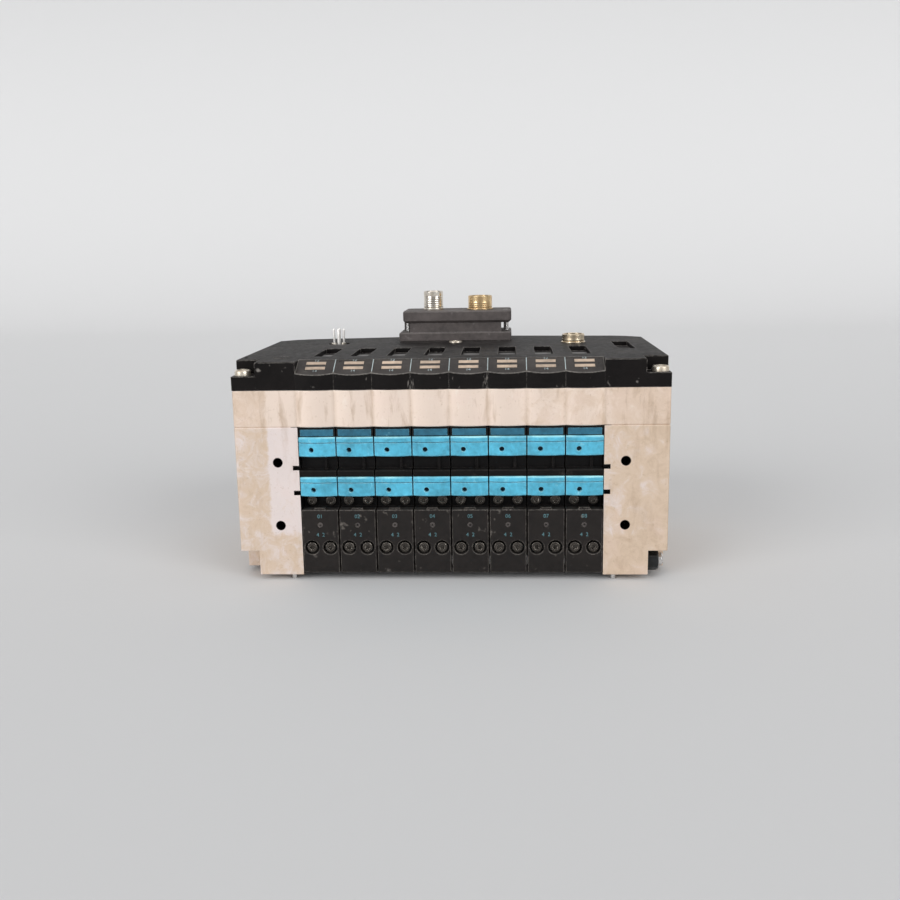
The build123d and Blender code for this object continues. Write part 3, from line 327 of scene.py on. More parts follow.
def castingMaterial(name):  # bare die casting with brown stains and painted shade, mostly at the right and towards the rear
    look = castingLooks[name]
    reach = castingReach
    material, tree, shader = emptyMaterial(name, metallic=0.42, roughness=0.45)
    coordinates = tree.nodes.new("ShaderNodeTexCoord")
    split = tree.nodes.new("ShaderNodeSeparateXYZ")
    tree.links.new(coordinates.outputs["Object"], split.inputs[0])
    sideways = mathNode(tree, "ABSOLUTE", split.outputs["X"])
    grain = effect(tree, "grain", Scale=1500.0, Cloud_Scale=60.0)
    wearHighlight = effect(tree, "wearHighlight", Radius=0.0005, Strength=0.8, Break_Scale=350.0)
    scratches = effect(tree, "scratches", Amount=0.30, Scale=90.0)
    blotches = noise(tree, 150.0, 7.0, 0.70, 0.9)
    specks = remap(tree, noise(tree, 640.0, 4.0, 0.65), 0.60, 0.72)
    # painted highlight: a paler patch on the left plate above its foot
    leftPatch = remap(tree, split.outputs["X"], -leftHighlightPatch["outer"], -leftHighlightPatch["inner"], smooth=True)
    patchLow, patchHigh = place(0, 0, leftHighlightPatch["low"]).z, place(0, 0, leftHighlightPatch["high"]).z
    aboveFoot = remap(tree, split.outputs["Z"], patchLow, patchHigh)
    leftHighlight = mathNode(tree, "MULTIPLY", leftPatch, aboveFoot)
    # painted shade: the casting gets darker and warmer towards the right
    rightShade = remap(tree, split.outputs["X"], *reach["rightShade"])
    rear = remap(tree, split.outputs["Y"], frontY + reach["rear"][0], frontY + reach["rear"][1], 0.0, 0.55)
    everywhere = mathNode(tree, "ADD", 0.62, mathNode(tree, "MULTIPLY", rightShade, 0.38))
    dirtAndShade = mathNode(tree, "SUBTRACT", everywhere, leftHighlight)
    dirtAndShade = mathNode(tree, "MAXIMUM", mathNode(tree, "MAXIMUM", dirtAndShade, rightShade), rear)
    uneven = mathNode(tree, "MULTIPLY", mathNode(tree, "SUBTRACT", blotches, 0.5), 2.2)
    spread = mathNode(tree, "ADD", dirtAndShade, uneven)
    warmMask = remap(tree, spread, 0.10, 0.85, smooth=True)
    stainAndShadeMask = mathNode(tree, "MULTIPLY", remap(tree, spread, 0.85, 1.75), look["stainAndShadeAmount"], True)
    base = mixColour(tree, warmMask, look["pale"], look["warm"])
    cloud = remap(tree, grain.outputs["Cloud"], 0.52, 0.78, 0.0, 0.35)
    base = mixColour(tree, cloud, base, castingTints["cloud"])
    base = mixColour(tree, stainAndShadeMask, base, look["stainAndShade"])
    stretched = addNode(tree, "ShaderNodeMapping", Scale=(1.0, 1.0, 0.22))
    tree.links.new(coordinates.outputs["Object"], stretched.inputs["Vector"])
    runs = noise(tree, 210.0, 5.0, 0.62, 0.4, stretched.outputs["Vector"])
    streaks = remap(tree, runs, 0.54, 0.74, 0.0, look["streaks"])
    base = mixColour(tree, streaks, base, look["stainAndShade"])
    if look["seams"]:  # painted shade in the valleys between the slices
        valley = mathNode(tree, "PINGPONG", split.outputs["X"], slicePitch / 2)
        inRow = remap(tree, sideways, *reach["row"])
        seam = mathNode(tree, "MULTIPLY", remap(tree, valley, *reach["seam"], 0.0, look["seams"]), inRow)
        base = mixColour(tree, mathNode(tree, "MULTIPLY", seam, blotches), base, look["stainAndShade"])
    base = mixColour(tree, mathNode(tree, "MULTIPLY", specks, 0.30), base, look["stainAndShade"])
    base = mixColour(tree, scratches.outputs["Mask"], base, castingTints["scratch"])
    # edges lightened as wear and as a painted edge highlight
    base = mixColour(tree, wearHighlight.outputs["Mask"], base, castingTints["wornHighlight"])
    for across, height in look["holes"]:  # painted shade inside the bolt holes
        away = mathNode(tree, "POWER", mathNode(tree, "SUBTRACT", sideways, across * mm), 2.0)
        rise = mathNode(tree, "SUBTRACT", split.outputs["Z"], place(0, 0, height).z)
        above = mathNode(tree, "POWER", rise, 2.0)
        distance = mathNode(tree, "SQRT", mathNode(tree, "ADD", away, above))
        base = mixColour(tree, remap(tree, distance, *reach["holeShade"]), base, castingTints["holeShade"])
    if look["holes"]:  # and painted shade inside the slots next to the slices
        nearRow = remap(tree, sideways, *reach["slot"])
        depths = [frontY + depth for depth in reach["slotShadeDepth"]]
        behindFace = remap(tree, split.outputs["Y"], *depths)
        base = mixColour(tree, mathNode(tree, "MULTIPLY", nearRow, behindFace), base, castingTints["slot"])
    tree.links.new(base, shader.inputs["Base Color"])
    tree.links.new(remap(tree, grain.outputs["Cloud"], 0.3, 0.7, 0.36, 0.52), shader.inputs["Roughness"])
    pits = mathNode(tree, "SUBTRACT", grain.outputs["Height"], mathNode(tree, "MULTIPLY", specks, 0.8))
    addBump(tree, shader, pits, 0.35, 0.00015, wearHighlight.outputs["Normal"])
    return material


finishes = {name: plasticMaterial(name) for name in plasticLooks}
finishes.update({name: metalMaterial(name) for name in metalLooks})
finishes.update({name: castingMaterial(name) for name in castingLooks})

nodeFinishes = {
    "left_end_plate": "plateCasting", "right_end_plate": "plateCasting", "metal_frame": "frameCasting",
    "electronics_housing": "housingPlastic", "circuit_board": "boardGreen", "contact_blocks": "insertPlastic",
    "led_windows": "lightWindow", "upper_pilot_covers": "bluePlastic", "lower_pilot_covers": "bluePlastic",
    "front_covers": "slicePlastic", "rear_covers": "slicePlastic", "cover_screws": "darkSteel",
    "pilot_screws": "darkSteel", "pilot_coils": "coilVarnish", "slice_gaskets": "gasketRubber",
    "tie_rods": "brightSteel", "tie_rod_nuts": "blackSteel", "housing_screws": "screwNickel",
    "locating_pins": "brightSteel", "adapter_base": "adapterPlastic", "adapter_cap": "adapterPlastic",
    "adapter_screws": "brightSteel", "bus_in_connector": "nickelPlate", "bus_out_connector": "turnedBrass",
    "extension_ring": "paleBrass", "power_shell_stub": "nickelPlate", "connector_inserts": "insertPlastic",
    "contact_pins": "pinTin",
}
nodeFinishes.update({name: "blackCasting" for name in frame["nodes"] if name.startswith("valve_body_")})
nodeFinishes.update({name: "spoolSteel" for name in frame["nodes"] if name.startswith("spool_")})
nodeFinishes.update({name: "overrideMetal" for name in frame["nodes"] if "_override_" in name})
for nodeName, finishName in nodeFinishes.items():
    for slotOfNode in frame["nodes"][nodeName].material_slots:
        slotOfNode.material = finishes[finishName]
print("materials placed on", len(nodeFinishes), "nodes")


def finishPiece(name, bm, finish, replaced=(), sharpAngle=35.0, body="island"):
    bmesh.ops.remove_doubles(bm, verts=bm.verts, dist=1e-7)
    bmesh.ops.recalc_face_normals(bm, faces=bm.faces)
    for face in bm.faces:
        face.smooth = True
    for edge in bm.edges:
        if len(edge.link_faces) == 2 and edge.calc_face_angle(0.0) > radians(sharpAngle):
            edge.smooth = False
    mesh = bpy.data.meshes.new(name)
    bm.to_mesh(mesh)
    bm.free()
    mesh.materials.append(finishes[finish])
    piece = bpy.data.objects.new(name, mesh)
    bpy.context.collection.objects.link(piece)
    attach(piece, body)
    if replaced:
        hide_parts(*replaced)
    return piece


def turnProfile(bm, profile, steps, matrix):  # profile of (radius, height) in mm, turned about +Z
    before = set(bm.verts)
    verts = [bm.verts.new((radius * mm, 0, height * mm)) for radius, height in profile]
    edges = [bm.edges.new(pair) for pair in zip(verts, verts[1:])]
    bmesh.ops.spin(bm, geom=verts + edges, cent=(0, 0, 0), axis=(0, 0, 1), angle=2 * pi, steps=steps,
                   use_merge=True)
    made = [vert for vert in bm.verts if vert not in before]
    bmesh.ops.remove_doubles(bm, verts=made, dist=1e-7)
    made = [vert for vert in bm.verts if vert not in before]
    bmesh.ops.transform(bm, matrix=matrix, verts=made)


def roundedBlock(bm, size, centre, radius, segments=2):
    before = set(bm.verts)
    bmesh.ops.create_cube(bm, size=1.0, matrix=Matrix.Translation(centre) @ Matrix.Diagonal((*size, 1.0)))
    made = [vert for vert in bm.verts if vert not in before]
    edges = {edge for vert in made for edge in vert.link_edges}
    bmesh.ops.bevel(bm, geom=list(edges), offset=radius, segments=segments, profile=0.5, affect="EDGES",
                    material=-1)


ridgeShape = {"foot": 0.16, "crest": 0.46, "crestEnd": 0.66}  # in parts of the pitch


def threadProfile(radius, start, length, pitch, depth):  # ridges of a thread, from start upwards
    foot, crest, crestEnd = (pitch * part for part in ridgeShape.values())
    points = []
    turns = int(length / pitch)
    for turn in range(turns):
        low = start + turn * pitch
        points += [(radius - depth, low), (radius - depth, low + foot), (radius, low + crest),
                   (radius, low + crestEnd)]
    points.append((radius - depth, start + turns * pitch))
    return points


def starScrew(bm, matrix, look):  # round head with a six-lobed socket, its top at z = 0
    segments = 36
    lobes = 6
    base = bmesh.ops.create_circle(bm, cap_ends=False, segments=segments, radius=look["socket"] * mm)["verts"]
    made = list(base)
    for vert in base:
        angle = atan2(vert.co.y, vert.co.x)
        vert.co *= 1 + look["lobe"] * cos(lobes * angle)
    edges = list({edge for vert in base for edge in vert.link_edges})
    floor = bmesh.ops.extrude_edge_only(bm, edges=edges)["geom"]
    floorVerts = [item for item in floor if isinstance(item, bmesh.types.BMVert)]
    for vert in floorVerts:
        vert.co.z -= look["socketDepth"] * mm
        vert.co.xy *= 0.93
    made += floorVerts
    floorEdges = [item for item in floor if isinstance(item, bmesh.types.BMEdge)]
    bmesh.ops.edgeloop_fill(bm, edges=floorEdges)
    dome = look["dome"]
    head = look["head"]
    side = look["headHeight"]
    rings = [(look["socket"] * 1.28, 0.0), (head - dome, -0.02), (head - dome * 0.45, -dome * 0.18),
             (head - dome * 0.1, -dome * 0.6), (head, -dome), (head, -side)]
    for radius, height in rings:
        ring = bmesh.ops.extrude_edge_only(bm, edges=edges)["geom"]
        ringVerts = [item for item in ring if isinstance(item, bmesh.types.BMVert)]
        edges = [item for item in ring if isinstance(item, bmesh.types.BMEdge)]
        for vert in ringVerts:
            flat = vert.co.xy.normalized() * radius * mm
            vert.co = (flat.x, flat.y, height * mm)
        made += ringVerts
    bmesh.ops.edgeloop_fill(bm, edges=edges)
    bmesh.ops.transform(bm, matrix=matrix, verts=made)


coverScrewLook = {"head": 2.5, "headHeight": 2.8, "dome": 0.5, "socket": 1.25, "socketDepth": 1.5,
                  "lobe": 0.13, "spacing": 8.8, "height": 13.5, "recess": 0.4,
                  "frontTurn": 97, "rearTurn": 61}  # each head is turned by its place times this, in radians


def buildCoverScrews():
    bm = bmesh.new()
    look = coverScrewLook
    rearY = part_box("rear_covers")[1].y
    for x in sliceX:
        for hand in (-0.5, 0.5):
            spot = place(x + hand * look["spacing"] * mm, look["recess"], look["height"])
            turned = Matrix.Rotation(x * look["frontTurn"], 4, "Z")
            starScrew(bm, Matrix.Translation(spot) @ facingOut @ turned, look)
            spot.y = rearY - look["recess"] * mm
            turned = Matrix.Rotation(x * look["rearTurn"], 4, "Z")
            starScrew(bm, Matrix.Translation(spot) @ facingBack @ turned, look)
    finishPiece("coverScrewSet", bm, "darkSteel", ["cover_screws"])


pilotScrewLook = {"head": 2.5, "headHeight": 2.6, "dome": 0.5, "socket": 1.25, "socketDepth": 1.3,
                  "lobe": 0.13, "spacing": 9.2, "height": 35.5, "recess": 5.4, "turn": 73}


def buildPilotScrews():
    bm = bmesh.new()
    look = pilotScrewLook
    for x in sliceX:
        for hand in (-0.5, 0.5):
            spot = place(x + hand * look["spacing"] * mm, look["recess"], look["height"])
            turned = Matrix.Rotation(x * look["turn"], 4, "Z")
            starScrew(bm, Matrix.Translation(spot) @ facingOut @ turned, look)
    finishPiece("pilotScrewSet", bm, "darkSteel", ["pilot_screws"])


housingScrewLook = {"head": 3.9, "headHeight": 2.8, "dome": 1.1, "socket": 1.6, "socketDepth": 1.4,
                    "lobe": 0.12, "seat": 96.6, "centreX": -1.0}
centreScrewLook = dict(housingScrewLook, head=3.6, headHeight=0.9, dome=0.4, socket=1.4, socketDepth=0.5)


def buildHousingScrews():
    low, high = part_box("housing_screws")
    look = housingScrewLook
    cornerTop = place(0, 0, look["seat"] + look["headHeight"])
    head = look["head"] * mm
    bm = bmesh.new()
    for x in (low.x + head, high.x - head):
        starScrew(bm, Matrix.Translation(Vector((x, low.y + head, cornerTop.z))), look)
    centreY = high.y - centreScrewLook["head"] * mm
    starScrew(bm, Matrix.Translation(Vector((look["centreX"] * mm, centreY, high.z))), centreScrewLook)
    finishPiece("housingScrewSet", bm, "screwNickel", ["housing_screws"])


adapterScrewLook = {"head": 2.7, "headHeight": 2.2, "dome": 0.5, "socket": 1.3, "socketDepth": 1.2,
                    "lobe": 0.13, "tip": -14.0, "tipRadius": 1.2, "shank": 1.5, "threadStart": -13.8,
                    "threadLength": 7.0, "pitch": 0.5, "ridge": 0.22, "plain": -6.6}


def buildAdapterScrews():
    low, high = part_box("adapter_screws")
    look = adapterScrewLook
    middle = (low.y + high.y) / 2
    radius = look["shank"]
    thread = threadProfile(radius, look["threadStart"], look["threadLength"], look["pitch"], look["ridge"])
    shank = [(0, look["tip"]), (look["tipRadius"], look["tip"]), *thread, (radius, look["plain"]),
             (radius, -look["headHeight"])]
    bm = bmesh.new()
    for x in (low.x + look["head"] * mm, high.x - look["head"] * mm):
        top = Matrix.Translation(Vector((x, middle, high.z)))
        starScrew(bm, top, look)
        turnProfile(bm, shank, 24, top)
    finishPiece("adapterScrewSet", bm, "brightSteel", ["adapter_screws"])


buildCoverScrews()
buildPilotScrews()
buildHousingScrews()
buildAdapterScrews()
print("screws built")


connectorLooks = {
    "busInShell": {"node": "bus_in_connector", "finish": "nickelPlate", "slot": "nickel", "outer": 5.4,
                   "inner": 4.3, "collar": 5.85, "collarHeight": 1.2, "rise": 10.5, "below": 4.0,
                   "pitch": 1.0, "ridge": 0.10, "plainTop": 2.4},
    "busOutShell": {"node": "bus_out_connector", "finish": "turnedBrass", "slot": "brass", "outer": 6.7,
                    "inner": 5.5, "collar": 7.2, "collarHeight": 0.8, "rise": 7.7, "below": 4.0,
                    "pitch": 1.0, "ridge": 0.06, "plainTop": 2.4},
    "extensionShell": {"node": "extension_ring", "finish": "paleBrass", "slot": "brass", "outer": 6.0,
                       "inner": 5.0, "collar": 6.5, "collarHeight": 0.6, "rise": 4.65, "below": 4.35,
                       "pitch": 1.0, "ridge": 0.06, "plainTop": 1.6},
}
shellNeck = 0.4  # a shell is this much narrower below its seat
shellEdge = {"collar": 0.15, "root": 0.35, "threadGap": 0.3, "threadEnd": 0.4, "plain": 0.05, "mouth": 0.25}


def buildShell(name):
    look = connectorLooks[name]
    low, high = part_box(look["node"])
    centre = Vector(((low.x + high.x) / 2, (low.y + high.y) / 2, high.z - look["rise"] * mm))
    outer, inner, rise, collar = look["outer"], look["inner"], look["rise"], look["collar"]
    collarTop = look["collarHeight"]
    threadStart = collarTop + shellEdge["threadGap"]
    threadLength = rise - threadStart - look["plainTop"] - shellEdge["threadEnd"]
    neck, plain = outer - shellNeck, outer - shellEdge["plain"]
    root, mouth = shellEdge["root"], shellEdge["mouth"]
    profile = [(inner, -look["below"]), (neck, -look["below"]), (neck, 0), (collar, 0),
               (collar, collarTop - shellEdge["collar"]), (collar - shellEdge["collar"], collarTop),
               (outer - root, collarTop)]
    profile += threadProfile(outer, threadStart, threadLength, look["pitch"], look["ridge"])
    profile += [(plain, rise - look["plainTop"]), (plain, rise - root), (plain - root, rise),
                (inner + mouth, rise), (inner, rise - mouth), (inner, -look["below"])]
    bm = bmesh.new()
    turnProfile(bm, profile, 64, Matrix.Translation(centre))
    finishPiece(name, bm, look["finish"], [look["node"]], sharpAngle=28.0)


for shellName in connectorLooks:
    buildShell(shellName)

powerPlace = {"x": -65.3, "depth": 90.0}
busInPlace = {"x": -14.1, "depth": 109.0}
pinLooks = {  # the power pins are a little bent, each by its lean in degrees
    "power": {**powerPlace, "radius": 0.6, "circle": 2.5, "count": 4, "tip": 111.7, "foot": 99.0,
              "leans": (2.0, -1.0, 1.5, 3.0)},
    "bus": {**busInPlace, "radius": 0.4, "circle": 2.2, "count": 5, "tip": 129.0, "foot": 116.0,
            "leans": (0.0, 0.0, 0.0, 0.0, 0.0)},
}
pinTip = ((1.0, 1.3), (0.92, 0.7), (0.6, 0.2))  # in parts of the radius: how wide, how far below the tip


def buildPins():
    bm = bmesh.new()
    for look in pinLooks.values():
        radius = look["radius"]
        length = look["tip"] - look["foot"]
        profile = [(0, 0), (radius, 0)]
        profile += [(radius * across, length - radius * below) for across, below in pinTip]
        profile.append((0, length))
        for index in range(look["count"]):
            angle = 2 * pi * index / look["count"]
            spot = place(look["x"] * mm + look["circle"] * mm * cos(angle), look["depth"], look["foot"])
            spot.y += look["circle"] * mm * sin(angle)
            lean = Matrix.Rotation(radians(look["leans"][index]), 4, (sin(angle + 1), cos(angle), 0))
            turnProfile(bm, profile, 20, Matrix.Translation(spot) @ lean)
    finishPiece("contactPinSet", bm, "pinTin", ["contact_pins"])


buildPins()

stubLook = {"outer": 6.0, "inner": 5.0, "foot": -4.35, "broken": -1.35, "steps": 90,
            "waves": (0.12, 0.7), "teeth": (0.25, 13),  # height and turns of the broken edge
            "fragments": ((-115.0, 15.0, 1.0), (-56.0, 12.0, 1.1))}  # angle, half width, height over the top


def buildPowerStub():  # ring broken off inside its socket, with two fragments left standing at the front
    centre = place(powerPlace["x"] * mm, powerPlace["depth"], housingTop)
    inner, outer, foot, broken = (stubLook[key] for key in ("inner", "outer", "foot", "broken"))
    waveHeight, waveTurns = stubLook["waves"]
    toothHeight, toothTurns = stubLook["teeth"]
    bm = bmesh.new()
    turnProfile(bm, [(inner, foot), (outer, foot), (outer, broken), (inner, broken), (inner, foot)],
                stubLook["steps"], Matrix.Identity(4))
    for vert in bm.verts:
        if vert.co.z < (broken - 0.1) * mm:
            continue
        angle = atan2(vert.co.y, vert.co.x) * 180 / pi
        vert.co.z += waveHeight * mm * sin(angle * waveTurns)
        for middle, halfWidth, rise in stubLook["fragments"]:
            offset = abs(angle - middle)
            if offset < halfWidth:
                vert.co.z = (rise - toothHeight * abs(sin(radians(angle * toothTurns)))) * mm
    bmesh.ops.translate(bm, verts=bm.verts, vec=centre)
    finishPiece("powerShellRest", bm, "nickelPlate", ["power_shell_stub"], sharpAngle=20.0)


buildPowerStub()
print("connectors built")


nutLook = {"halfWidth": 5.0, "corner": 5.72, "length": 5.6, "bore": 3.02, "steps": 60, "chamfer": 0.4,
           "places": ((8.6, 5.2), (103.4, 5.2), (70.0, 62.0))}


def buildNuts():  # hexagon nuts with chamfered corners, flats to the front and the back
    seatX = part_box("tie_rod_nuts")[0].x
    turnToX = Matrix.Rotation(radians(90), 4, "Y")
    half, corner, length, bore = (nutLook[key] for key in ("halfWidth", "corner", "length", "bore"))
    edge = nutLook["chamfer"]
    rings = [(half + 0.1, 0), (corner, edge), (corner, length - 0.5), (half - 0.1, length),
             (bore + edge, length), (bore, length - edge), (bore, 0)]
    bm = bmesh.new()
    for depth, height in nutLook["places"]:
        circle = bmesh.ops.create_circle(bm, cap_ends=False, segments=nutLook["steps"], radius=bore * mm)
        first = circle["verts"]
        made = list(first)
        edges = list({edge for vert in first for edge in vert.link_edges})
        for limit, rise in rings:
            ring = bmesh.ops.extrude_edge_only(bm, edges=edges)["geom"]
            edges = [item for item in ring if isinstance(item, bmesh.types.BMEdge)]
            for vert in (item for item in ring if isinstance(item, bmesh.types.BMVert)):
                fromFlat = (atan2(vert.co.x, vert.co.y) + pi / 6) % (pi / 3) - pi / 6
                reach = min(half / cos(fromFlat), limit)
                flat = vert.co.xy.normalized() * reach * mm
                vert.co = (flat.x, flat.y, rise * mm)
                made.append(vert)
        bmesh.ops.remove_doubles(bm, verts=made, dist=1e-7)
        made = [vert for vert in made if vert.is_valid]
        bmesh.ops.transform(bm, matrix=Matrix.Translation(place(seatX, depth, height)) @ turnToX, verts=made)
    finishPiece("tieRodNutSet", bm, "blackSteel", ["tie_rod_nuts"], sharpAngle=24.0)


buildNuts()


slopeLook = {"depth": 10.5, "drop": 5.65, "bulge": 1.3, "rim": 0.28, "rimLift": 0.16, "film": 0.05,
             "back": 0.35, "arcSteps": 10}
slopeFoot = place(0, 0, housingTop - slopeLook["drop"])
slopeAngle = atan2(slopeLook["drop"], slopeLook["depth"])
slopeLength = (slopeLook["depth"] ** 2 + slopeLook["drop"] ** 2) ** 0.5
onSlope = Matrix.Translation(slopeFoot) @ Matrix.Rotation(slopeAngle, 4, "X")

windowLook = {"halfWidth": 4.75, "halfHeight": 1.15, "rows": (0.37, 0.71)}  # openings in the film


def cutWindows(film):
    reach = windowLook["halfHeight"]
    spans = [(row * slopeLength - reach, row * slopeLength + reach) for row in windowLook["rows"]]
    for level in [edge for span in spans for edge in span]:
        geometry = [*film.verts, *film.edges, *film.faces]
        bmesh.ops.bisect_plane(film, geom=geometry, plane_co=(0, level * mm, 0), plane_no=(0, 1, 0),
                               dist=1e-7)
    half = windowLook["halfWidth"] * mm
    for x in [centre + hand * half for centre in sliceX for hand in (-1, 1)]:
        geometry = [*film.verts, *film.edges, *film.faces]
        bmesh.ops.bisect_plane(film, geom=geometry, plane_co=(x, 0, 0), plane_no=(1, 0, 0), dist=1e-7)
    gone = []
    for face in film.faces:
        middle = face.calc_center_median()
        inColumn = any(abs(middle.x - centre) < half for centre in sliceX)
        if inColumn and any(low * mm < middle.y < high * mm for low, high in spans):
            gone.append(face)
    bmesh.ops.delete(film, geom=gone, context="FACES")


def buildDisplayFields():  # dark film on each slice, with a thin pale rim, a painted highlight, that follows its bowed front edge
    bm = bmesh.new()
    film = bmesh.new()
    arcSteps = slopeLook["arcSteps"]
    half = slicePitch / 2
    back = (slopeLength - slopeLook["back"]) * mm
    for x in sliceX:
        outline = []
        for step in range(arcSteps + 1):
            across = -half + 2 * half * step / arcSteps
            bow = slopeLook["bulge"] * mm * (1 - (across / half) ** 2)
            outline.append(bm.verts.new((x + across, -bow / cos(slopeAngle) + 0.0001, 0)))
        outline.append(bm.verts.new((x + half, back, 0)))
        outline.append(bm.verts.new((x - half, back, 0)))
        field = bm.faces.new(outline)
        bmesh.ops.recalc_face_normals(bm, faces=[field])
        inner = bmesh.ops.inset_individual(bm, faces=[field], thickness=slopeLook["rim"] * mm,
                                           use_even_offset=True)
        filmEdge = [film.verts.new((*vert.co.xy, slopeLook["film"] * mm)) for vert in field.verts]
        film.faces.new(filmEdge)
        bmesh.ops.delete(bm, geom=[field], context="FACES_ONLY")
        rimFaces = inner["faces"]
        lifted = bmesh.ops.extrude_face_region(bm, geom=rimFaces)["geom"]
        liftedVerts = [item for item in lifted if isinstance(item, bmesh.types.BMVert)]
        bmesh.ops.translate(bm, verts=liftedVerts, vec=(0, 0, slopeLook["rimLift"] * mm))
    bmesh.ops.transform(bm, matrix=onSlope, verts=bm.verts)
    finishPiece("displayRimHighlights", bm, "rimHighlightGrey", sharpAngle=25.0)
    cutWindows(film)
    bmesh.ops.transform(film, matrix=onSlope, verts=film.verts)
    for face in film.faces:
        if face.normal.z < 0:
            face.normal_flip()
    finishPiece("displayFilms", film, "displayFilm", sharpAngle=25.0)


digitLook = {"size": 2.3, "lift": 0.06, "upperRow": 10.65, "lowerRow": 2.05, "thick": 0.05}


def textMesh(bm, words, size, matrix, thick):  # flat figures, made a mesh and placed by matrix
    curve = bpy.data.curves.new("figures", "FONT")
    curve.body = words
    curve.size = size * mm
    curve.align_x = "CENTER"
    curve.align_y = "CENTER"
    curve.extrude = thick * mm
    curve.resolution_u = 3
    holder = bpy.data.objects.new("figures", curve)
    bpy.context.collection.objects.link(holder)
    bpy.context.view_layer.update()
    flat = bpy.data.meshes.new_from_object(holder.evaluated_get(bpy.context.evaluated_depsgraph_get()))
    before = set(bm.verts)
    bm.from_mesh(flat)
    made = [vert for vert in bm.verts if vert not in before]
    bmesh.ops.transform(bm, matrix=matrix, verts=made)
    bpy.data.objects.remove(holder)
    bpy.data.meshes.remove(flat)
    bpy.data.curves.remove(curve)


def buildDigits():
    bm = bmesh.new()
    for x in sliceX:
        for words, row in (("12", digitLook["upperRow"]), ("14", digitLook["lowerRow"])):
            spot = Matrix.Translation(Vector((x, row * mm, digitLook["lift"] * mm)))
            textMesh(bm, words, digitLook["size"], onSlope @ spot, digitLook["thick"])
    finishPiece("coilDigits", bm, "paleMark")


dividerLook = {"width": 0.34, "from": 1.2, "to": 11.2, "thick": 0.1, "lift": 0.2, "rounding": 0.03}


def buildDividers():
    bm = bmesh.new()
    look = dividerLook
    size = Vector((look["width"], look["to"] - look["from"], look["thick"])) * mm
    for left in sliceX[:-1]:
        centre = Vector((left + slicePitch / 2, (look["from"] + look["to"]) / 2 * mm, look["lift"] * mm))
        roundedBlock(bm, size, centre, look["rounding"] * mm, 1)
    bmesh.ops.transform(bm, matrix=onSlope, verts=bm.verts)
    finishPiece("sliceDividers", bm, "paleMark")


buildDisplayFields()
buildDigits()
buildDividers()
print("display field built")


labelLook = {"width": 15.8, "low": 68.0, "high": 71.2, "depth": 0.4, "lift": 0.08, "rounding": 0.06}


def buildLabelFields():  # bare coloured fields on the bars over the blue covers
    bm = bmesh.new()
    look = labelLook
    size = Vector((look["width"], 2 * look["lift"], look["high"] - look["low"])) * mm
    for x in sliceX:
        centre = place(x, look["depth"], (look["high"] + look["low"]) / 2)
        roundedBlock(bm, size, centre, look["rounding"] * mm, 1)
    finishPiece("labelFields", bm, "labelBlue")


figureLook = {"size": 2.6, "upper": 28.9, "lower": 19.8, "thick": 0.04}


def buildSliceFigures():  # plain position numbers above, port numbers below
    bm = bmesh.new()
    for index, x in enumerate(sliceX):
        for words, height in ((f"0{index + 1}", figureLook["upper"]), ("4  2", figureLook["lower"])):
            spot = Matrix.Translation(place(x, 0.0, height)) @ facingOut
            textMesh(bm, words, figureLook["size"], spot, figureLook["thick"])
    finishPiece("sliceFigures", bm, "figureMark")


pressedLook = {"outer": 1.05, "inner": 0.62, "height": 24.7, "lift": 0.14, "foot": -0.25, "edge": 0.12}


def buildPressedMarks():  # small raised ring in the pressed mark of each front cover
    bm = bmesh.new()
    inner, outer, lift = pressedLook["inner"], pressedLook["outer"], pressedLook["lift"]
    foot, edge = pressedLook["foot"], pressedLook["edge"]
    profile = [(inner, foot), (inner, lift * 0.6), (inner + edge, lift), (outer - edge, lift),
               (outer, lift * 0.6), (outer, foot), (inner, foot)]
    for x in sliceX:
        turnProfile(bm, profile, 28, Matrix.Translation(place(x, 0, pressedLook["height"])) @ facingOut)
    finishPiece("pressedMarks", bm, "pressedMark")


buildLabelFields()
buildSliceFigures()
buildPressedMarks()


pocketLook = {"width": 8.2, "front": 23.6, "back": 51.0, "floor": 100.85, "thick": 0.3, "rounding": 0.12}


def buildPocketPlates():  # pale plates on the pocket floors
    bm = bmesh.new()
    look = pocketLook
    size = Vector((look["width"], look["back"] - look["front"], look["thick"])) * mm
    for x in sliceX:
        centre = place(x, (look["back"] + look["front"]) / 2, look["floor"] + look["thick"] / 2)
        roundedBlock(bm, size, centre, look["rounding"] * mm)
    finishPiece("pocketPlates", bm, "pocketGrey")


ringMarkLook = {"x": -82.0, "depth": 19.0, "outer": 4.2, "inner": 3.5, "lift": 0.2, "edge": 0.1,
                "dotX": -99.5, "dotDepth": 20.0, "sink": 0.02}


def buildTopMarks():  # raised ring and a small dot on the left block
    bm = bmesh.new()
    look = ringMarkLook
    inner, outer, lift, edge = (look[key] for key in ("inner", "outer", "lift", "edge"))
    seat = housingTop - look["sink"]
    profile = [(inner, 0), (inner + edge, lift), (outer - edge, lift), (outer, 0)]
    turnProfile(bm, profile, 48, Matrix.Translation(place(look["x"] * mm, look["depth"], seat)))
    dot = [(0, 0.3), (0.6, 0.26), (0.9, 0.12), (1.0, 0)]
    turnProfile(bm, dot, 24, Matrix.Translation(place(look["dotX"] * mm, look["dotDepth"], seat)))
    finishPiece("topMarks", bm, "housingPlastic")


buildPocketPlates()
buildTopMarks()


portLooks = {
    "working": {"radius": 5.9, "length": 12.0, "pitch": 1.337, "depth": 0.5, "gap": 0.02},
    "supply": {"radius": 7.6, "length": 12.0, "pitch": 1.337, "depth": 0.5, "gap": 0.02},
}
supplyOver = 7  # bores with a larger radius than this, in mm, are supply ports
portMouth = {"top": -0.1, "plain": -0.5, "thread": -0.6, "spare": 1.6, "ridge": (0.42, 0.58)}


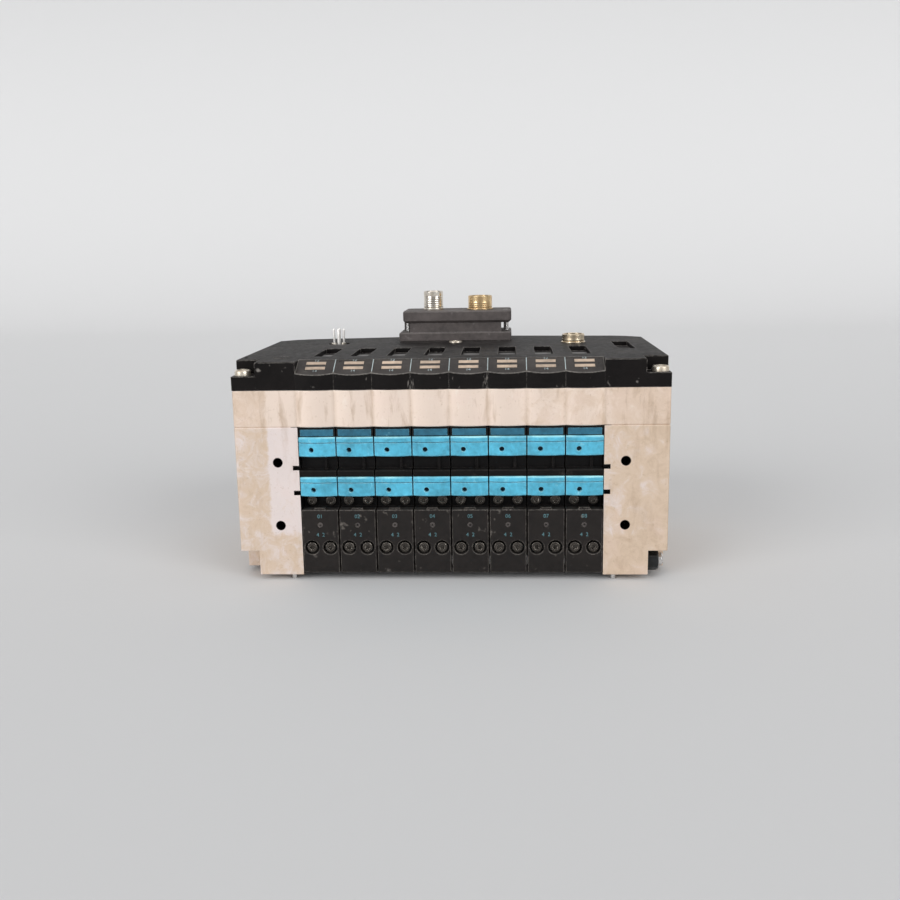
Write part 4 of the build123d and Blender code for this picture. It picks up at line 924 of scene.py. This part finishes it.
def portProfile(look):  # thin sleeve with thread ridges, mouth at z = 0 and going down
    radius, depth, pitch = look["radius"] - look["gap"], look["depth"], look["pitch"]
    start = portMouth["thread"]
    points = [(radius, portMouth["top"]), (radius, portMouth["plain"])]
    turns = int((look["length"] - portMouth["spare"]) / pitch)
    for turn in range(turns):
        top = start - turn * pitch
        points += [(radius, top), *((radius - depth, top - pitch * part) for part in portMouth["ridge"])]
    points.append((radius, start - turns * pitch))
    return points


def buildPortThreads():
    bm = bmesh.new()
    mounts = [mount for mount in frame["record"]["mounts"] if mount["kind"] == "threaded_hole"]
    for mount in mounts:
        look = portLooks["supply" if mount["dims"]["r_mm"] > supplyOver else "working"]
        axis = Vector(mount["axis"])
        turn = axis.to_track_quat("Z", "Y").to_matrix().to_4x4()
        turnProfile(bm, portProfile(look), 40, Matrix.Translation(Vector(mount["pos_m"])) @ turn)
    for face in bm.faces:
        face.normal_flip()
    finishPiece("portThreads", bm, "brightSteel")


buildPortThreads()
print("marks, plates and threads built")


stageLook = {"halfWidth": 6.0, "front": -6.0, "bendStart": 1.4, "bendRadius": 0.9, "height": 4.0, "steps": 32,
             "colour": (0.62, 0.62, 0.62)}


def buildStage():  # floor that bends up into a backdrop
    look = stageLook
    radius = look["bendRadius"]
    arc = [(look["bendStart"] + radius * sin(step / look["steps"] * pi / 2),
            radius - radius * cos(step / look["steps"] * pi / 2)) for step in range(look["steps"] + 1)]
    bm = bmesh.new()
    outline = [(look["front"], 0.0), *arc, (arc[-1][0], look["height"])]
    verts = [bm.verts.new((-look["halfWidth"], y, z)) for y, z in outline]
    edges = [bm.edges.new(pair) for pair in zip(verts, verts[1:])]
    swept = bmesh.ops.extrude_edge_only(bm, edges=edges)["geom"]
    moved = [item for item in swept if isinstance(item, bmesh.types.BMVert)]
    bmesh.ops.translate(bm, verts=moved, vec=(2 * look["halfWidth"], 0, 0))
    bmesh.ops.recalc_face_normals(bm, faces=bm.faces)
    for face in bm.faces:
        face.smooth = True
    mesh = bpy.data.meshes.new("floor")
    bm.to_mesh(mesh)
    bm.free()
    floor = bpy.data.objects.new("floor", mesh)
    material, tree, shader = emptyMaterial("floorPaint", roughness=0.8)
    shader.inputs["Base Color"].default_value = (*look["colour"], 1)
    mesh.materials.append(material)
    bpy.context.collection.objects.link(floor)


cameraLook = {"lens": 41.0, "x": 27.13, "depth": -471.44, "height": 154.83,
              "pitch": 0.19603, "yaw": 0.05751, "roll": -0.01763}


def buildCamera():
    look = cameraLook
    data = bpy.data.cameras.new("camera")
    data.lens = look["lens"]
    data.clip_start = 0.01
    camera = bpy.data.objects.new("camera", data)
    pitch, yaw, roll = look["pitch"], look["yaw"], look["roll"]
    forward = Vector((-sin(yaw) * cos(pitch), cos(yaw) * cos(pitch), -sin(pitch)))
    right = Vector((cos(yaw), sin(yaw), 0))
    up = right.cross(forward)
    turnedRight = cos(roll) * right + sin(roll) * up
    turnedUp = -sin(roll) * right + cos(roll) * up
    basis = Matrix((turnedRight, turnedUp, -forward)).transposed().to_4x4()
    camera.matrix_world = Matrix.Translation(place(look["x"] * mm, look["depth"], look["height"])) @ basis
    bpy.context.collection.objects.link(camera)
    bpy.context.scene.camera = camera


lightLook = {  # soft suns: the side that they come from in degrees, elevation, spread and strength
    "world": 0.36,
    "suns": {"leftSun": (-44.0, 22.0, 40.0, 1.50), "rightSun": (46.0, 24.0, 40.0, 1.40),
             "topSun": (10.0, 78.0, 60.0, 0.55)},
}


def softSun(name, side, elevation, spread, strength):
    data = bpy.data.lights.new(name, "SUN")
    data.angle = radians(spread)
    data.energy = strength
    light = bpy.data.objects.new(name, data)
    around, above = radians(side), radians(elevation)
    towards = Vector((sin(around) * cos(above), -cos(around) * cos(above), sin(above)))
    light.matrix_world = Matrix.Translation(towards) @ towards.to_track_quat("Z", "Y").to_matrix().to_4x4()
    bpy.context.collection.objects.link(light)


def buildLight():
    world = bpy.data.worlds.new("studio")
    bpy.context.scene.world = world
    world.use_nodes = True
    background = world.node_tree.nodes["Background"]
    background.inputs["Color"].default_value = (0.96, 0.97, 1.0, 1)
    background.inputs["Strength"].default_value = lightLook["world"]
    for name, (side, elevation, spread, strength) in lightLook["suns"].items():
        softSun(name, side, elevation, spread, strength)


buildStage()
buildCamera()
buildLight()
bpy.context.scene.view_settings.view_transform = "Standard"
print("stage set")

bpy.context.view_layer.update()
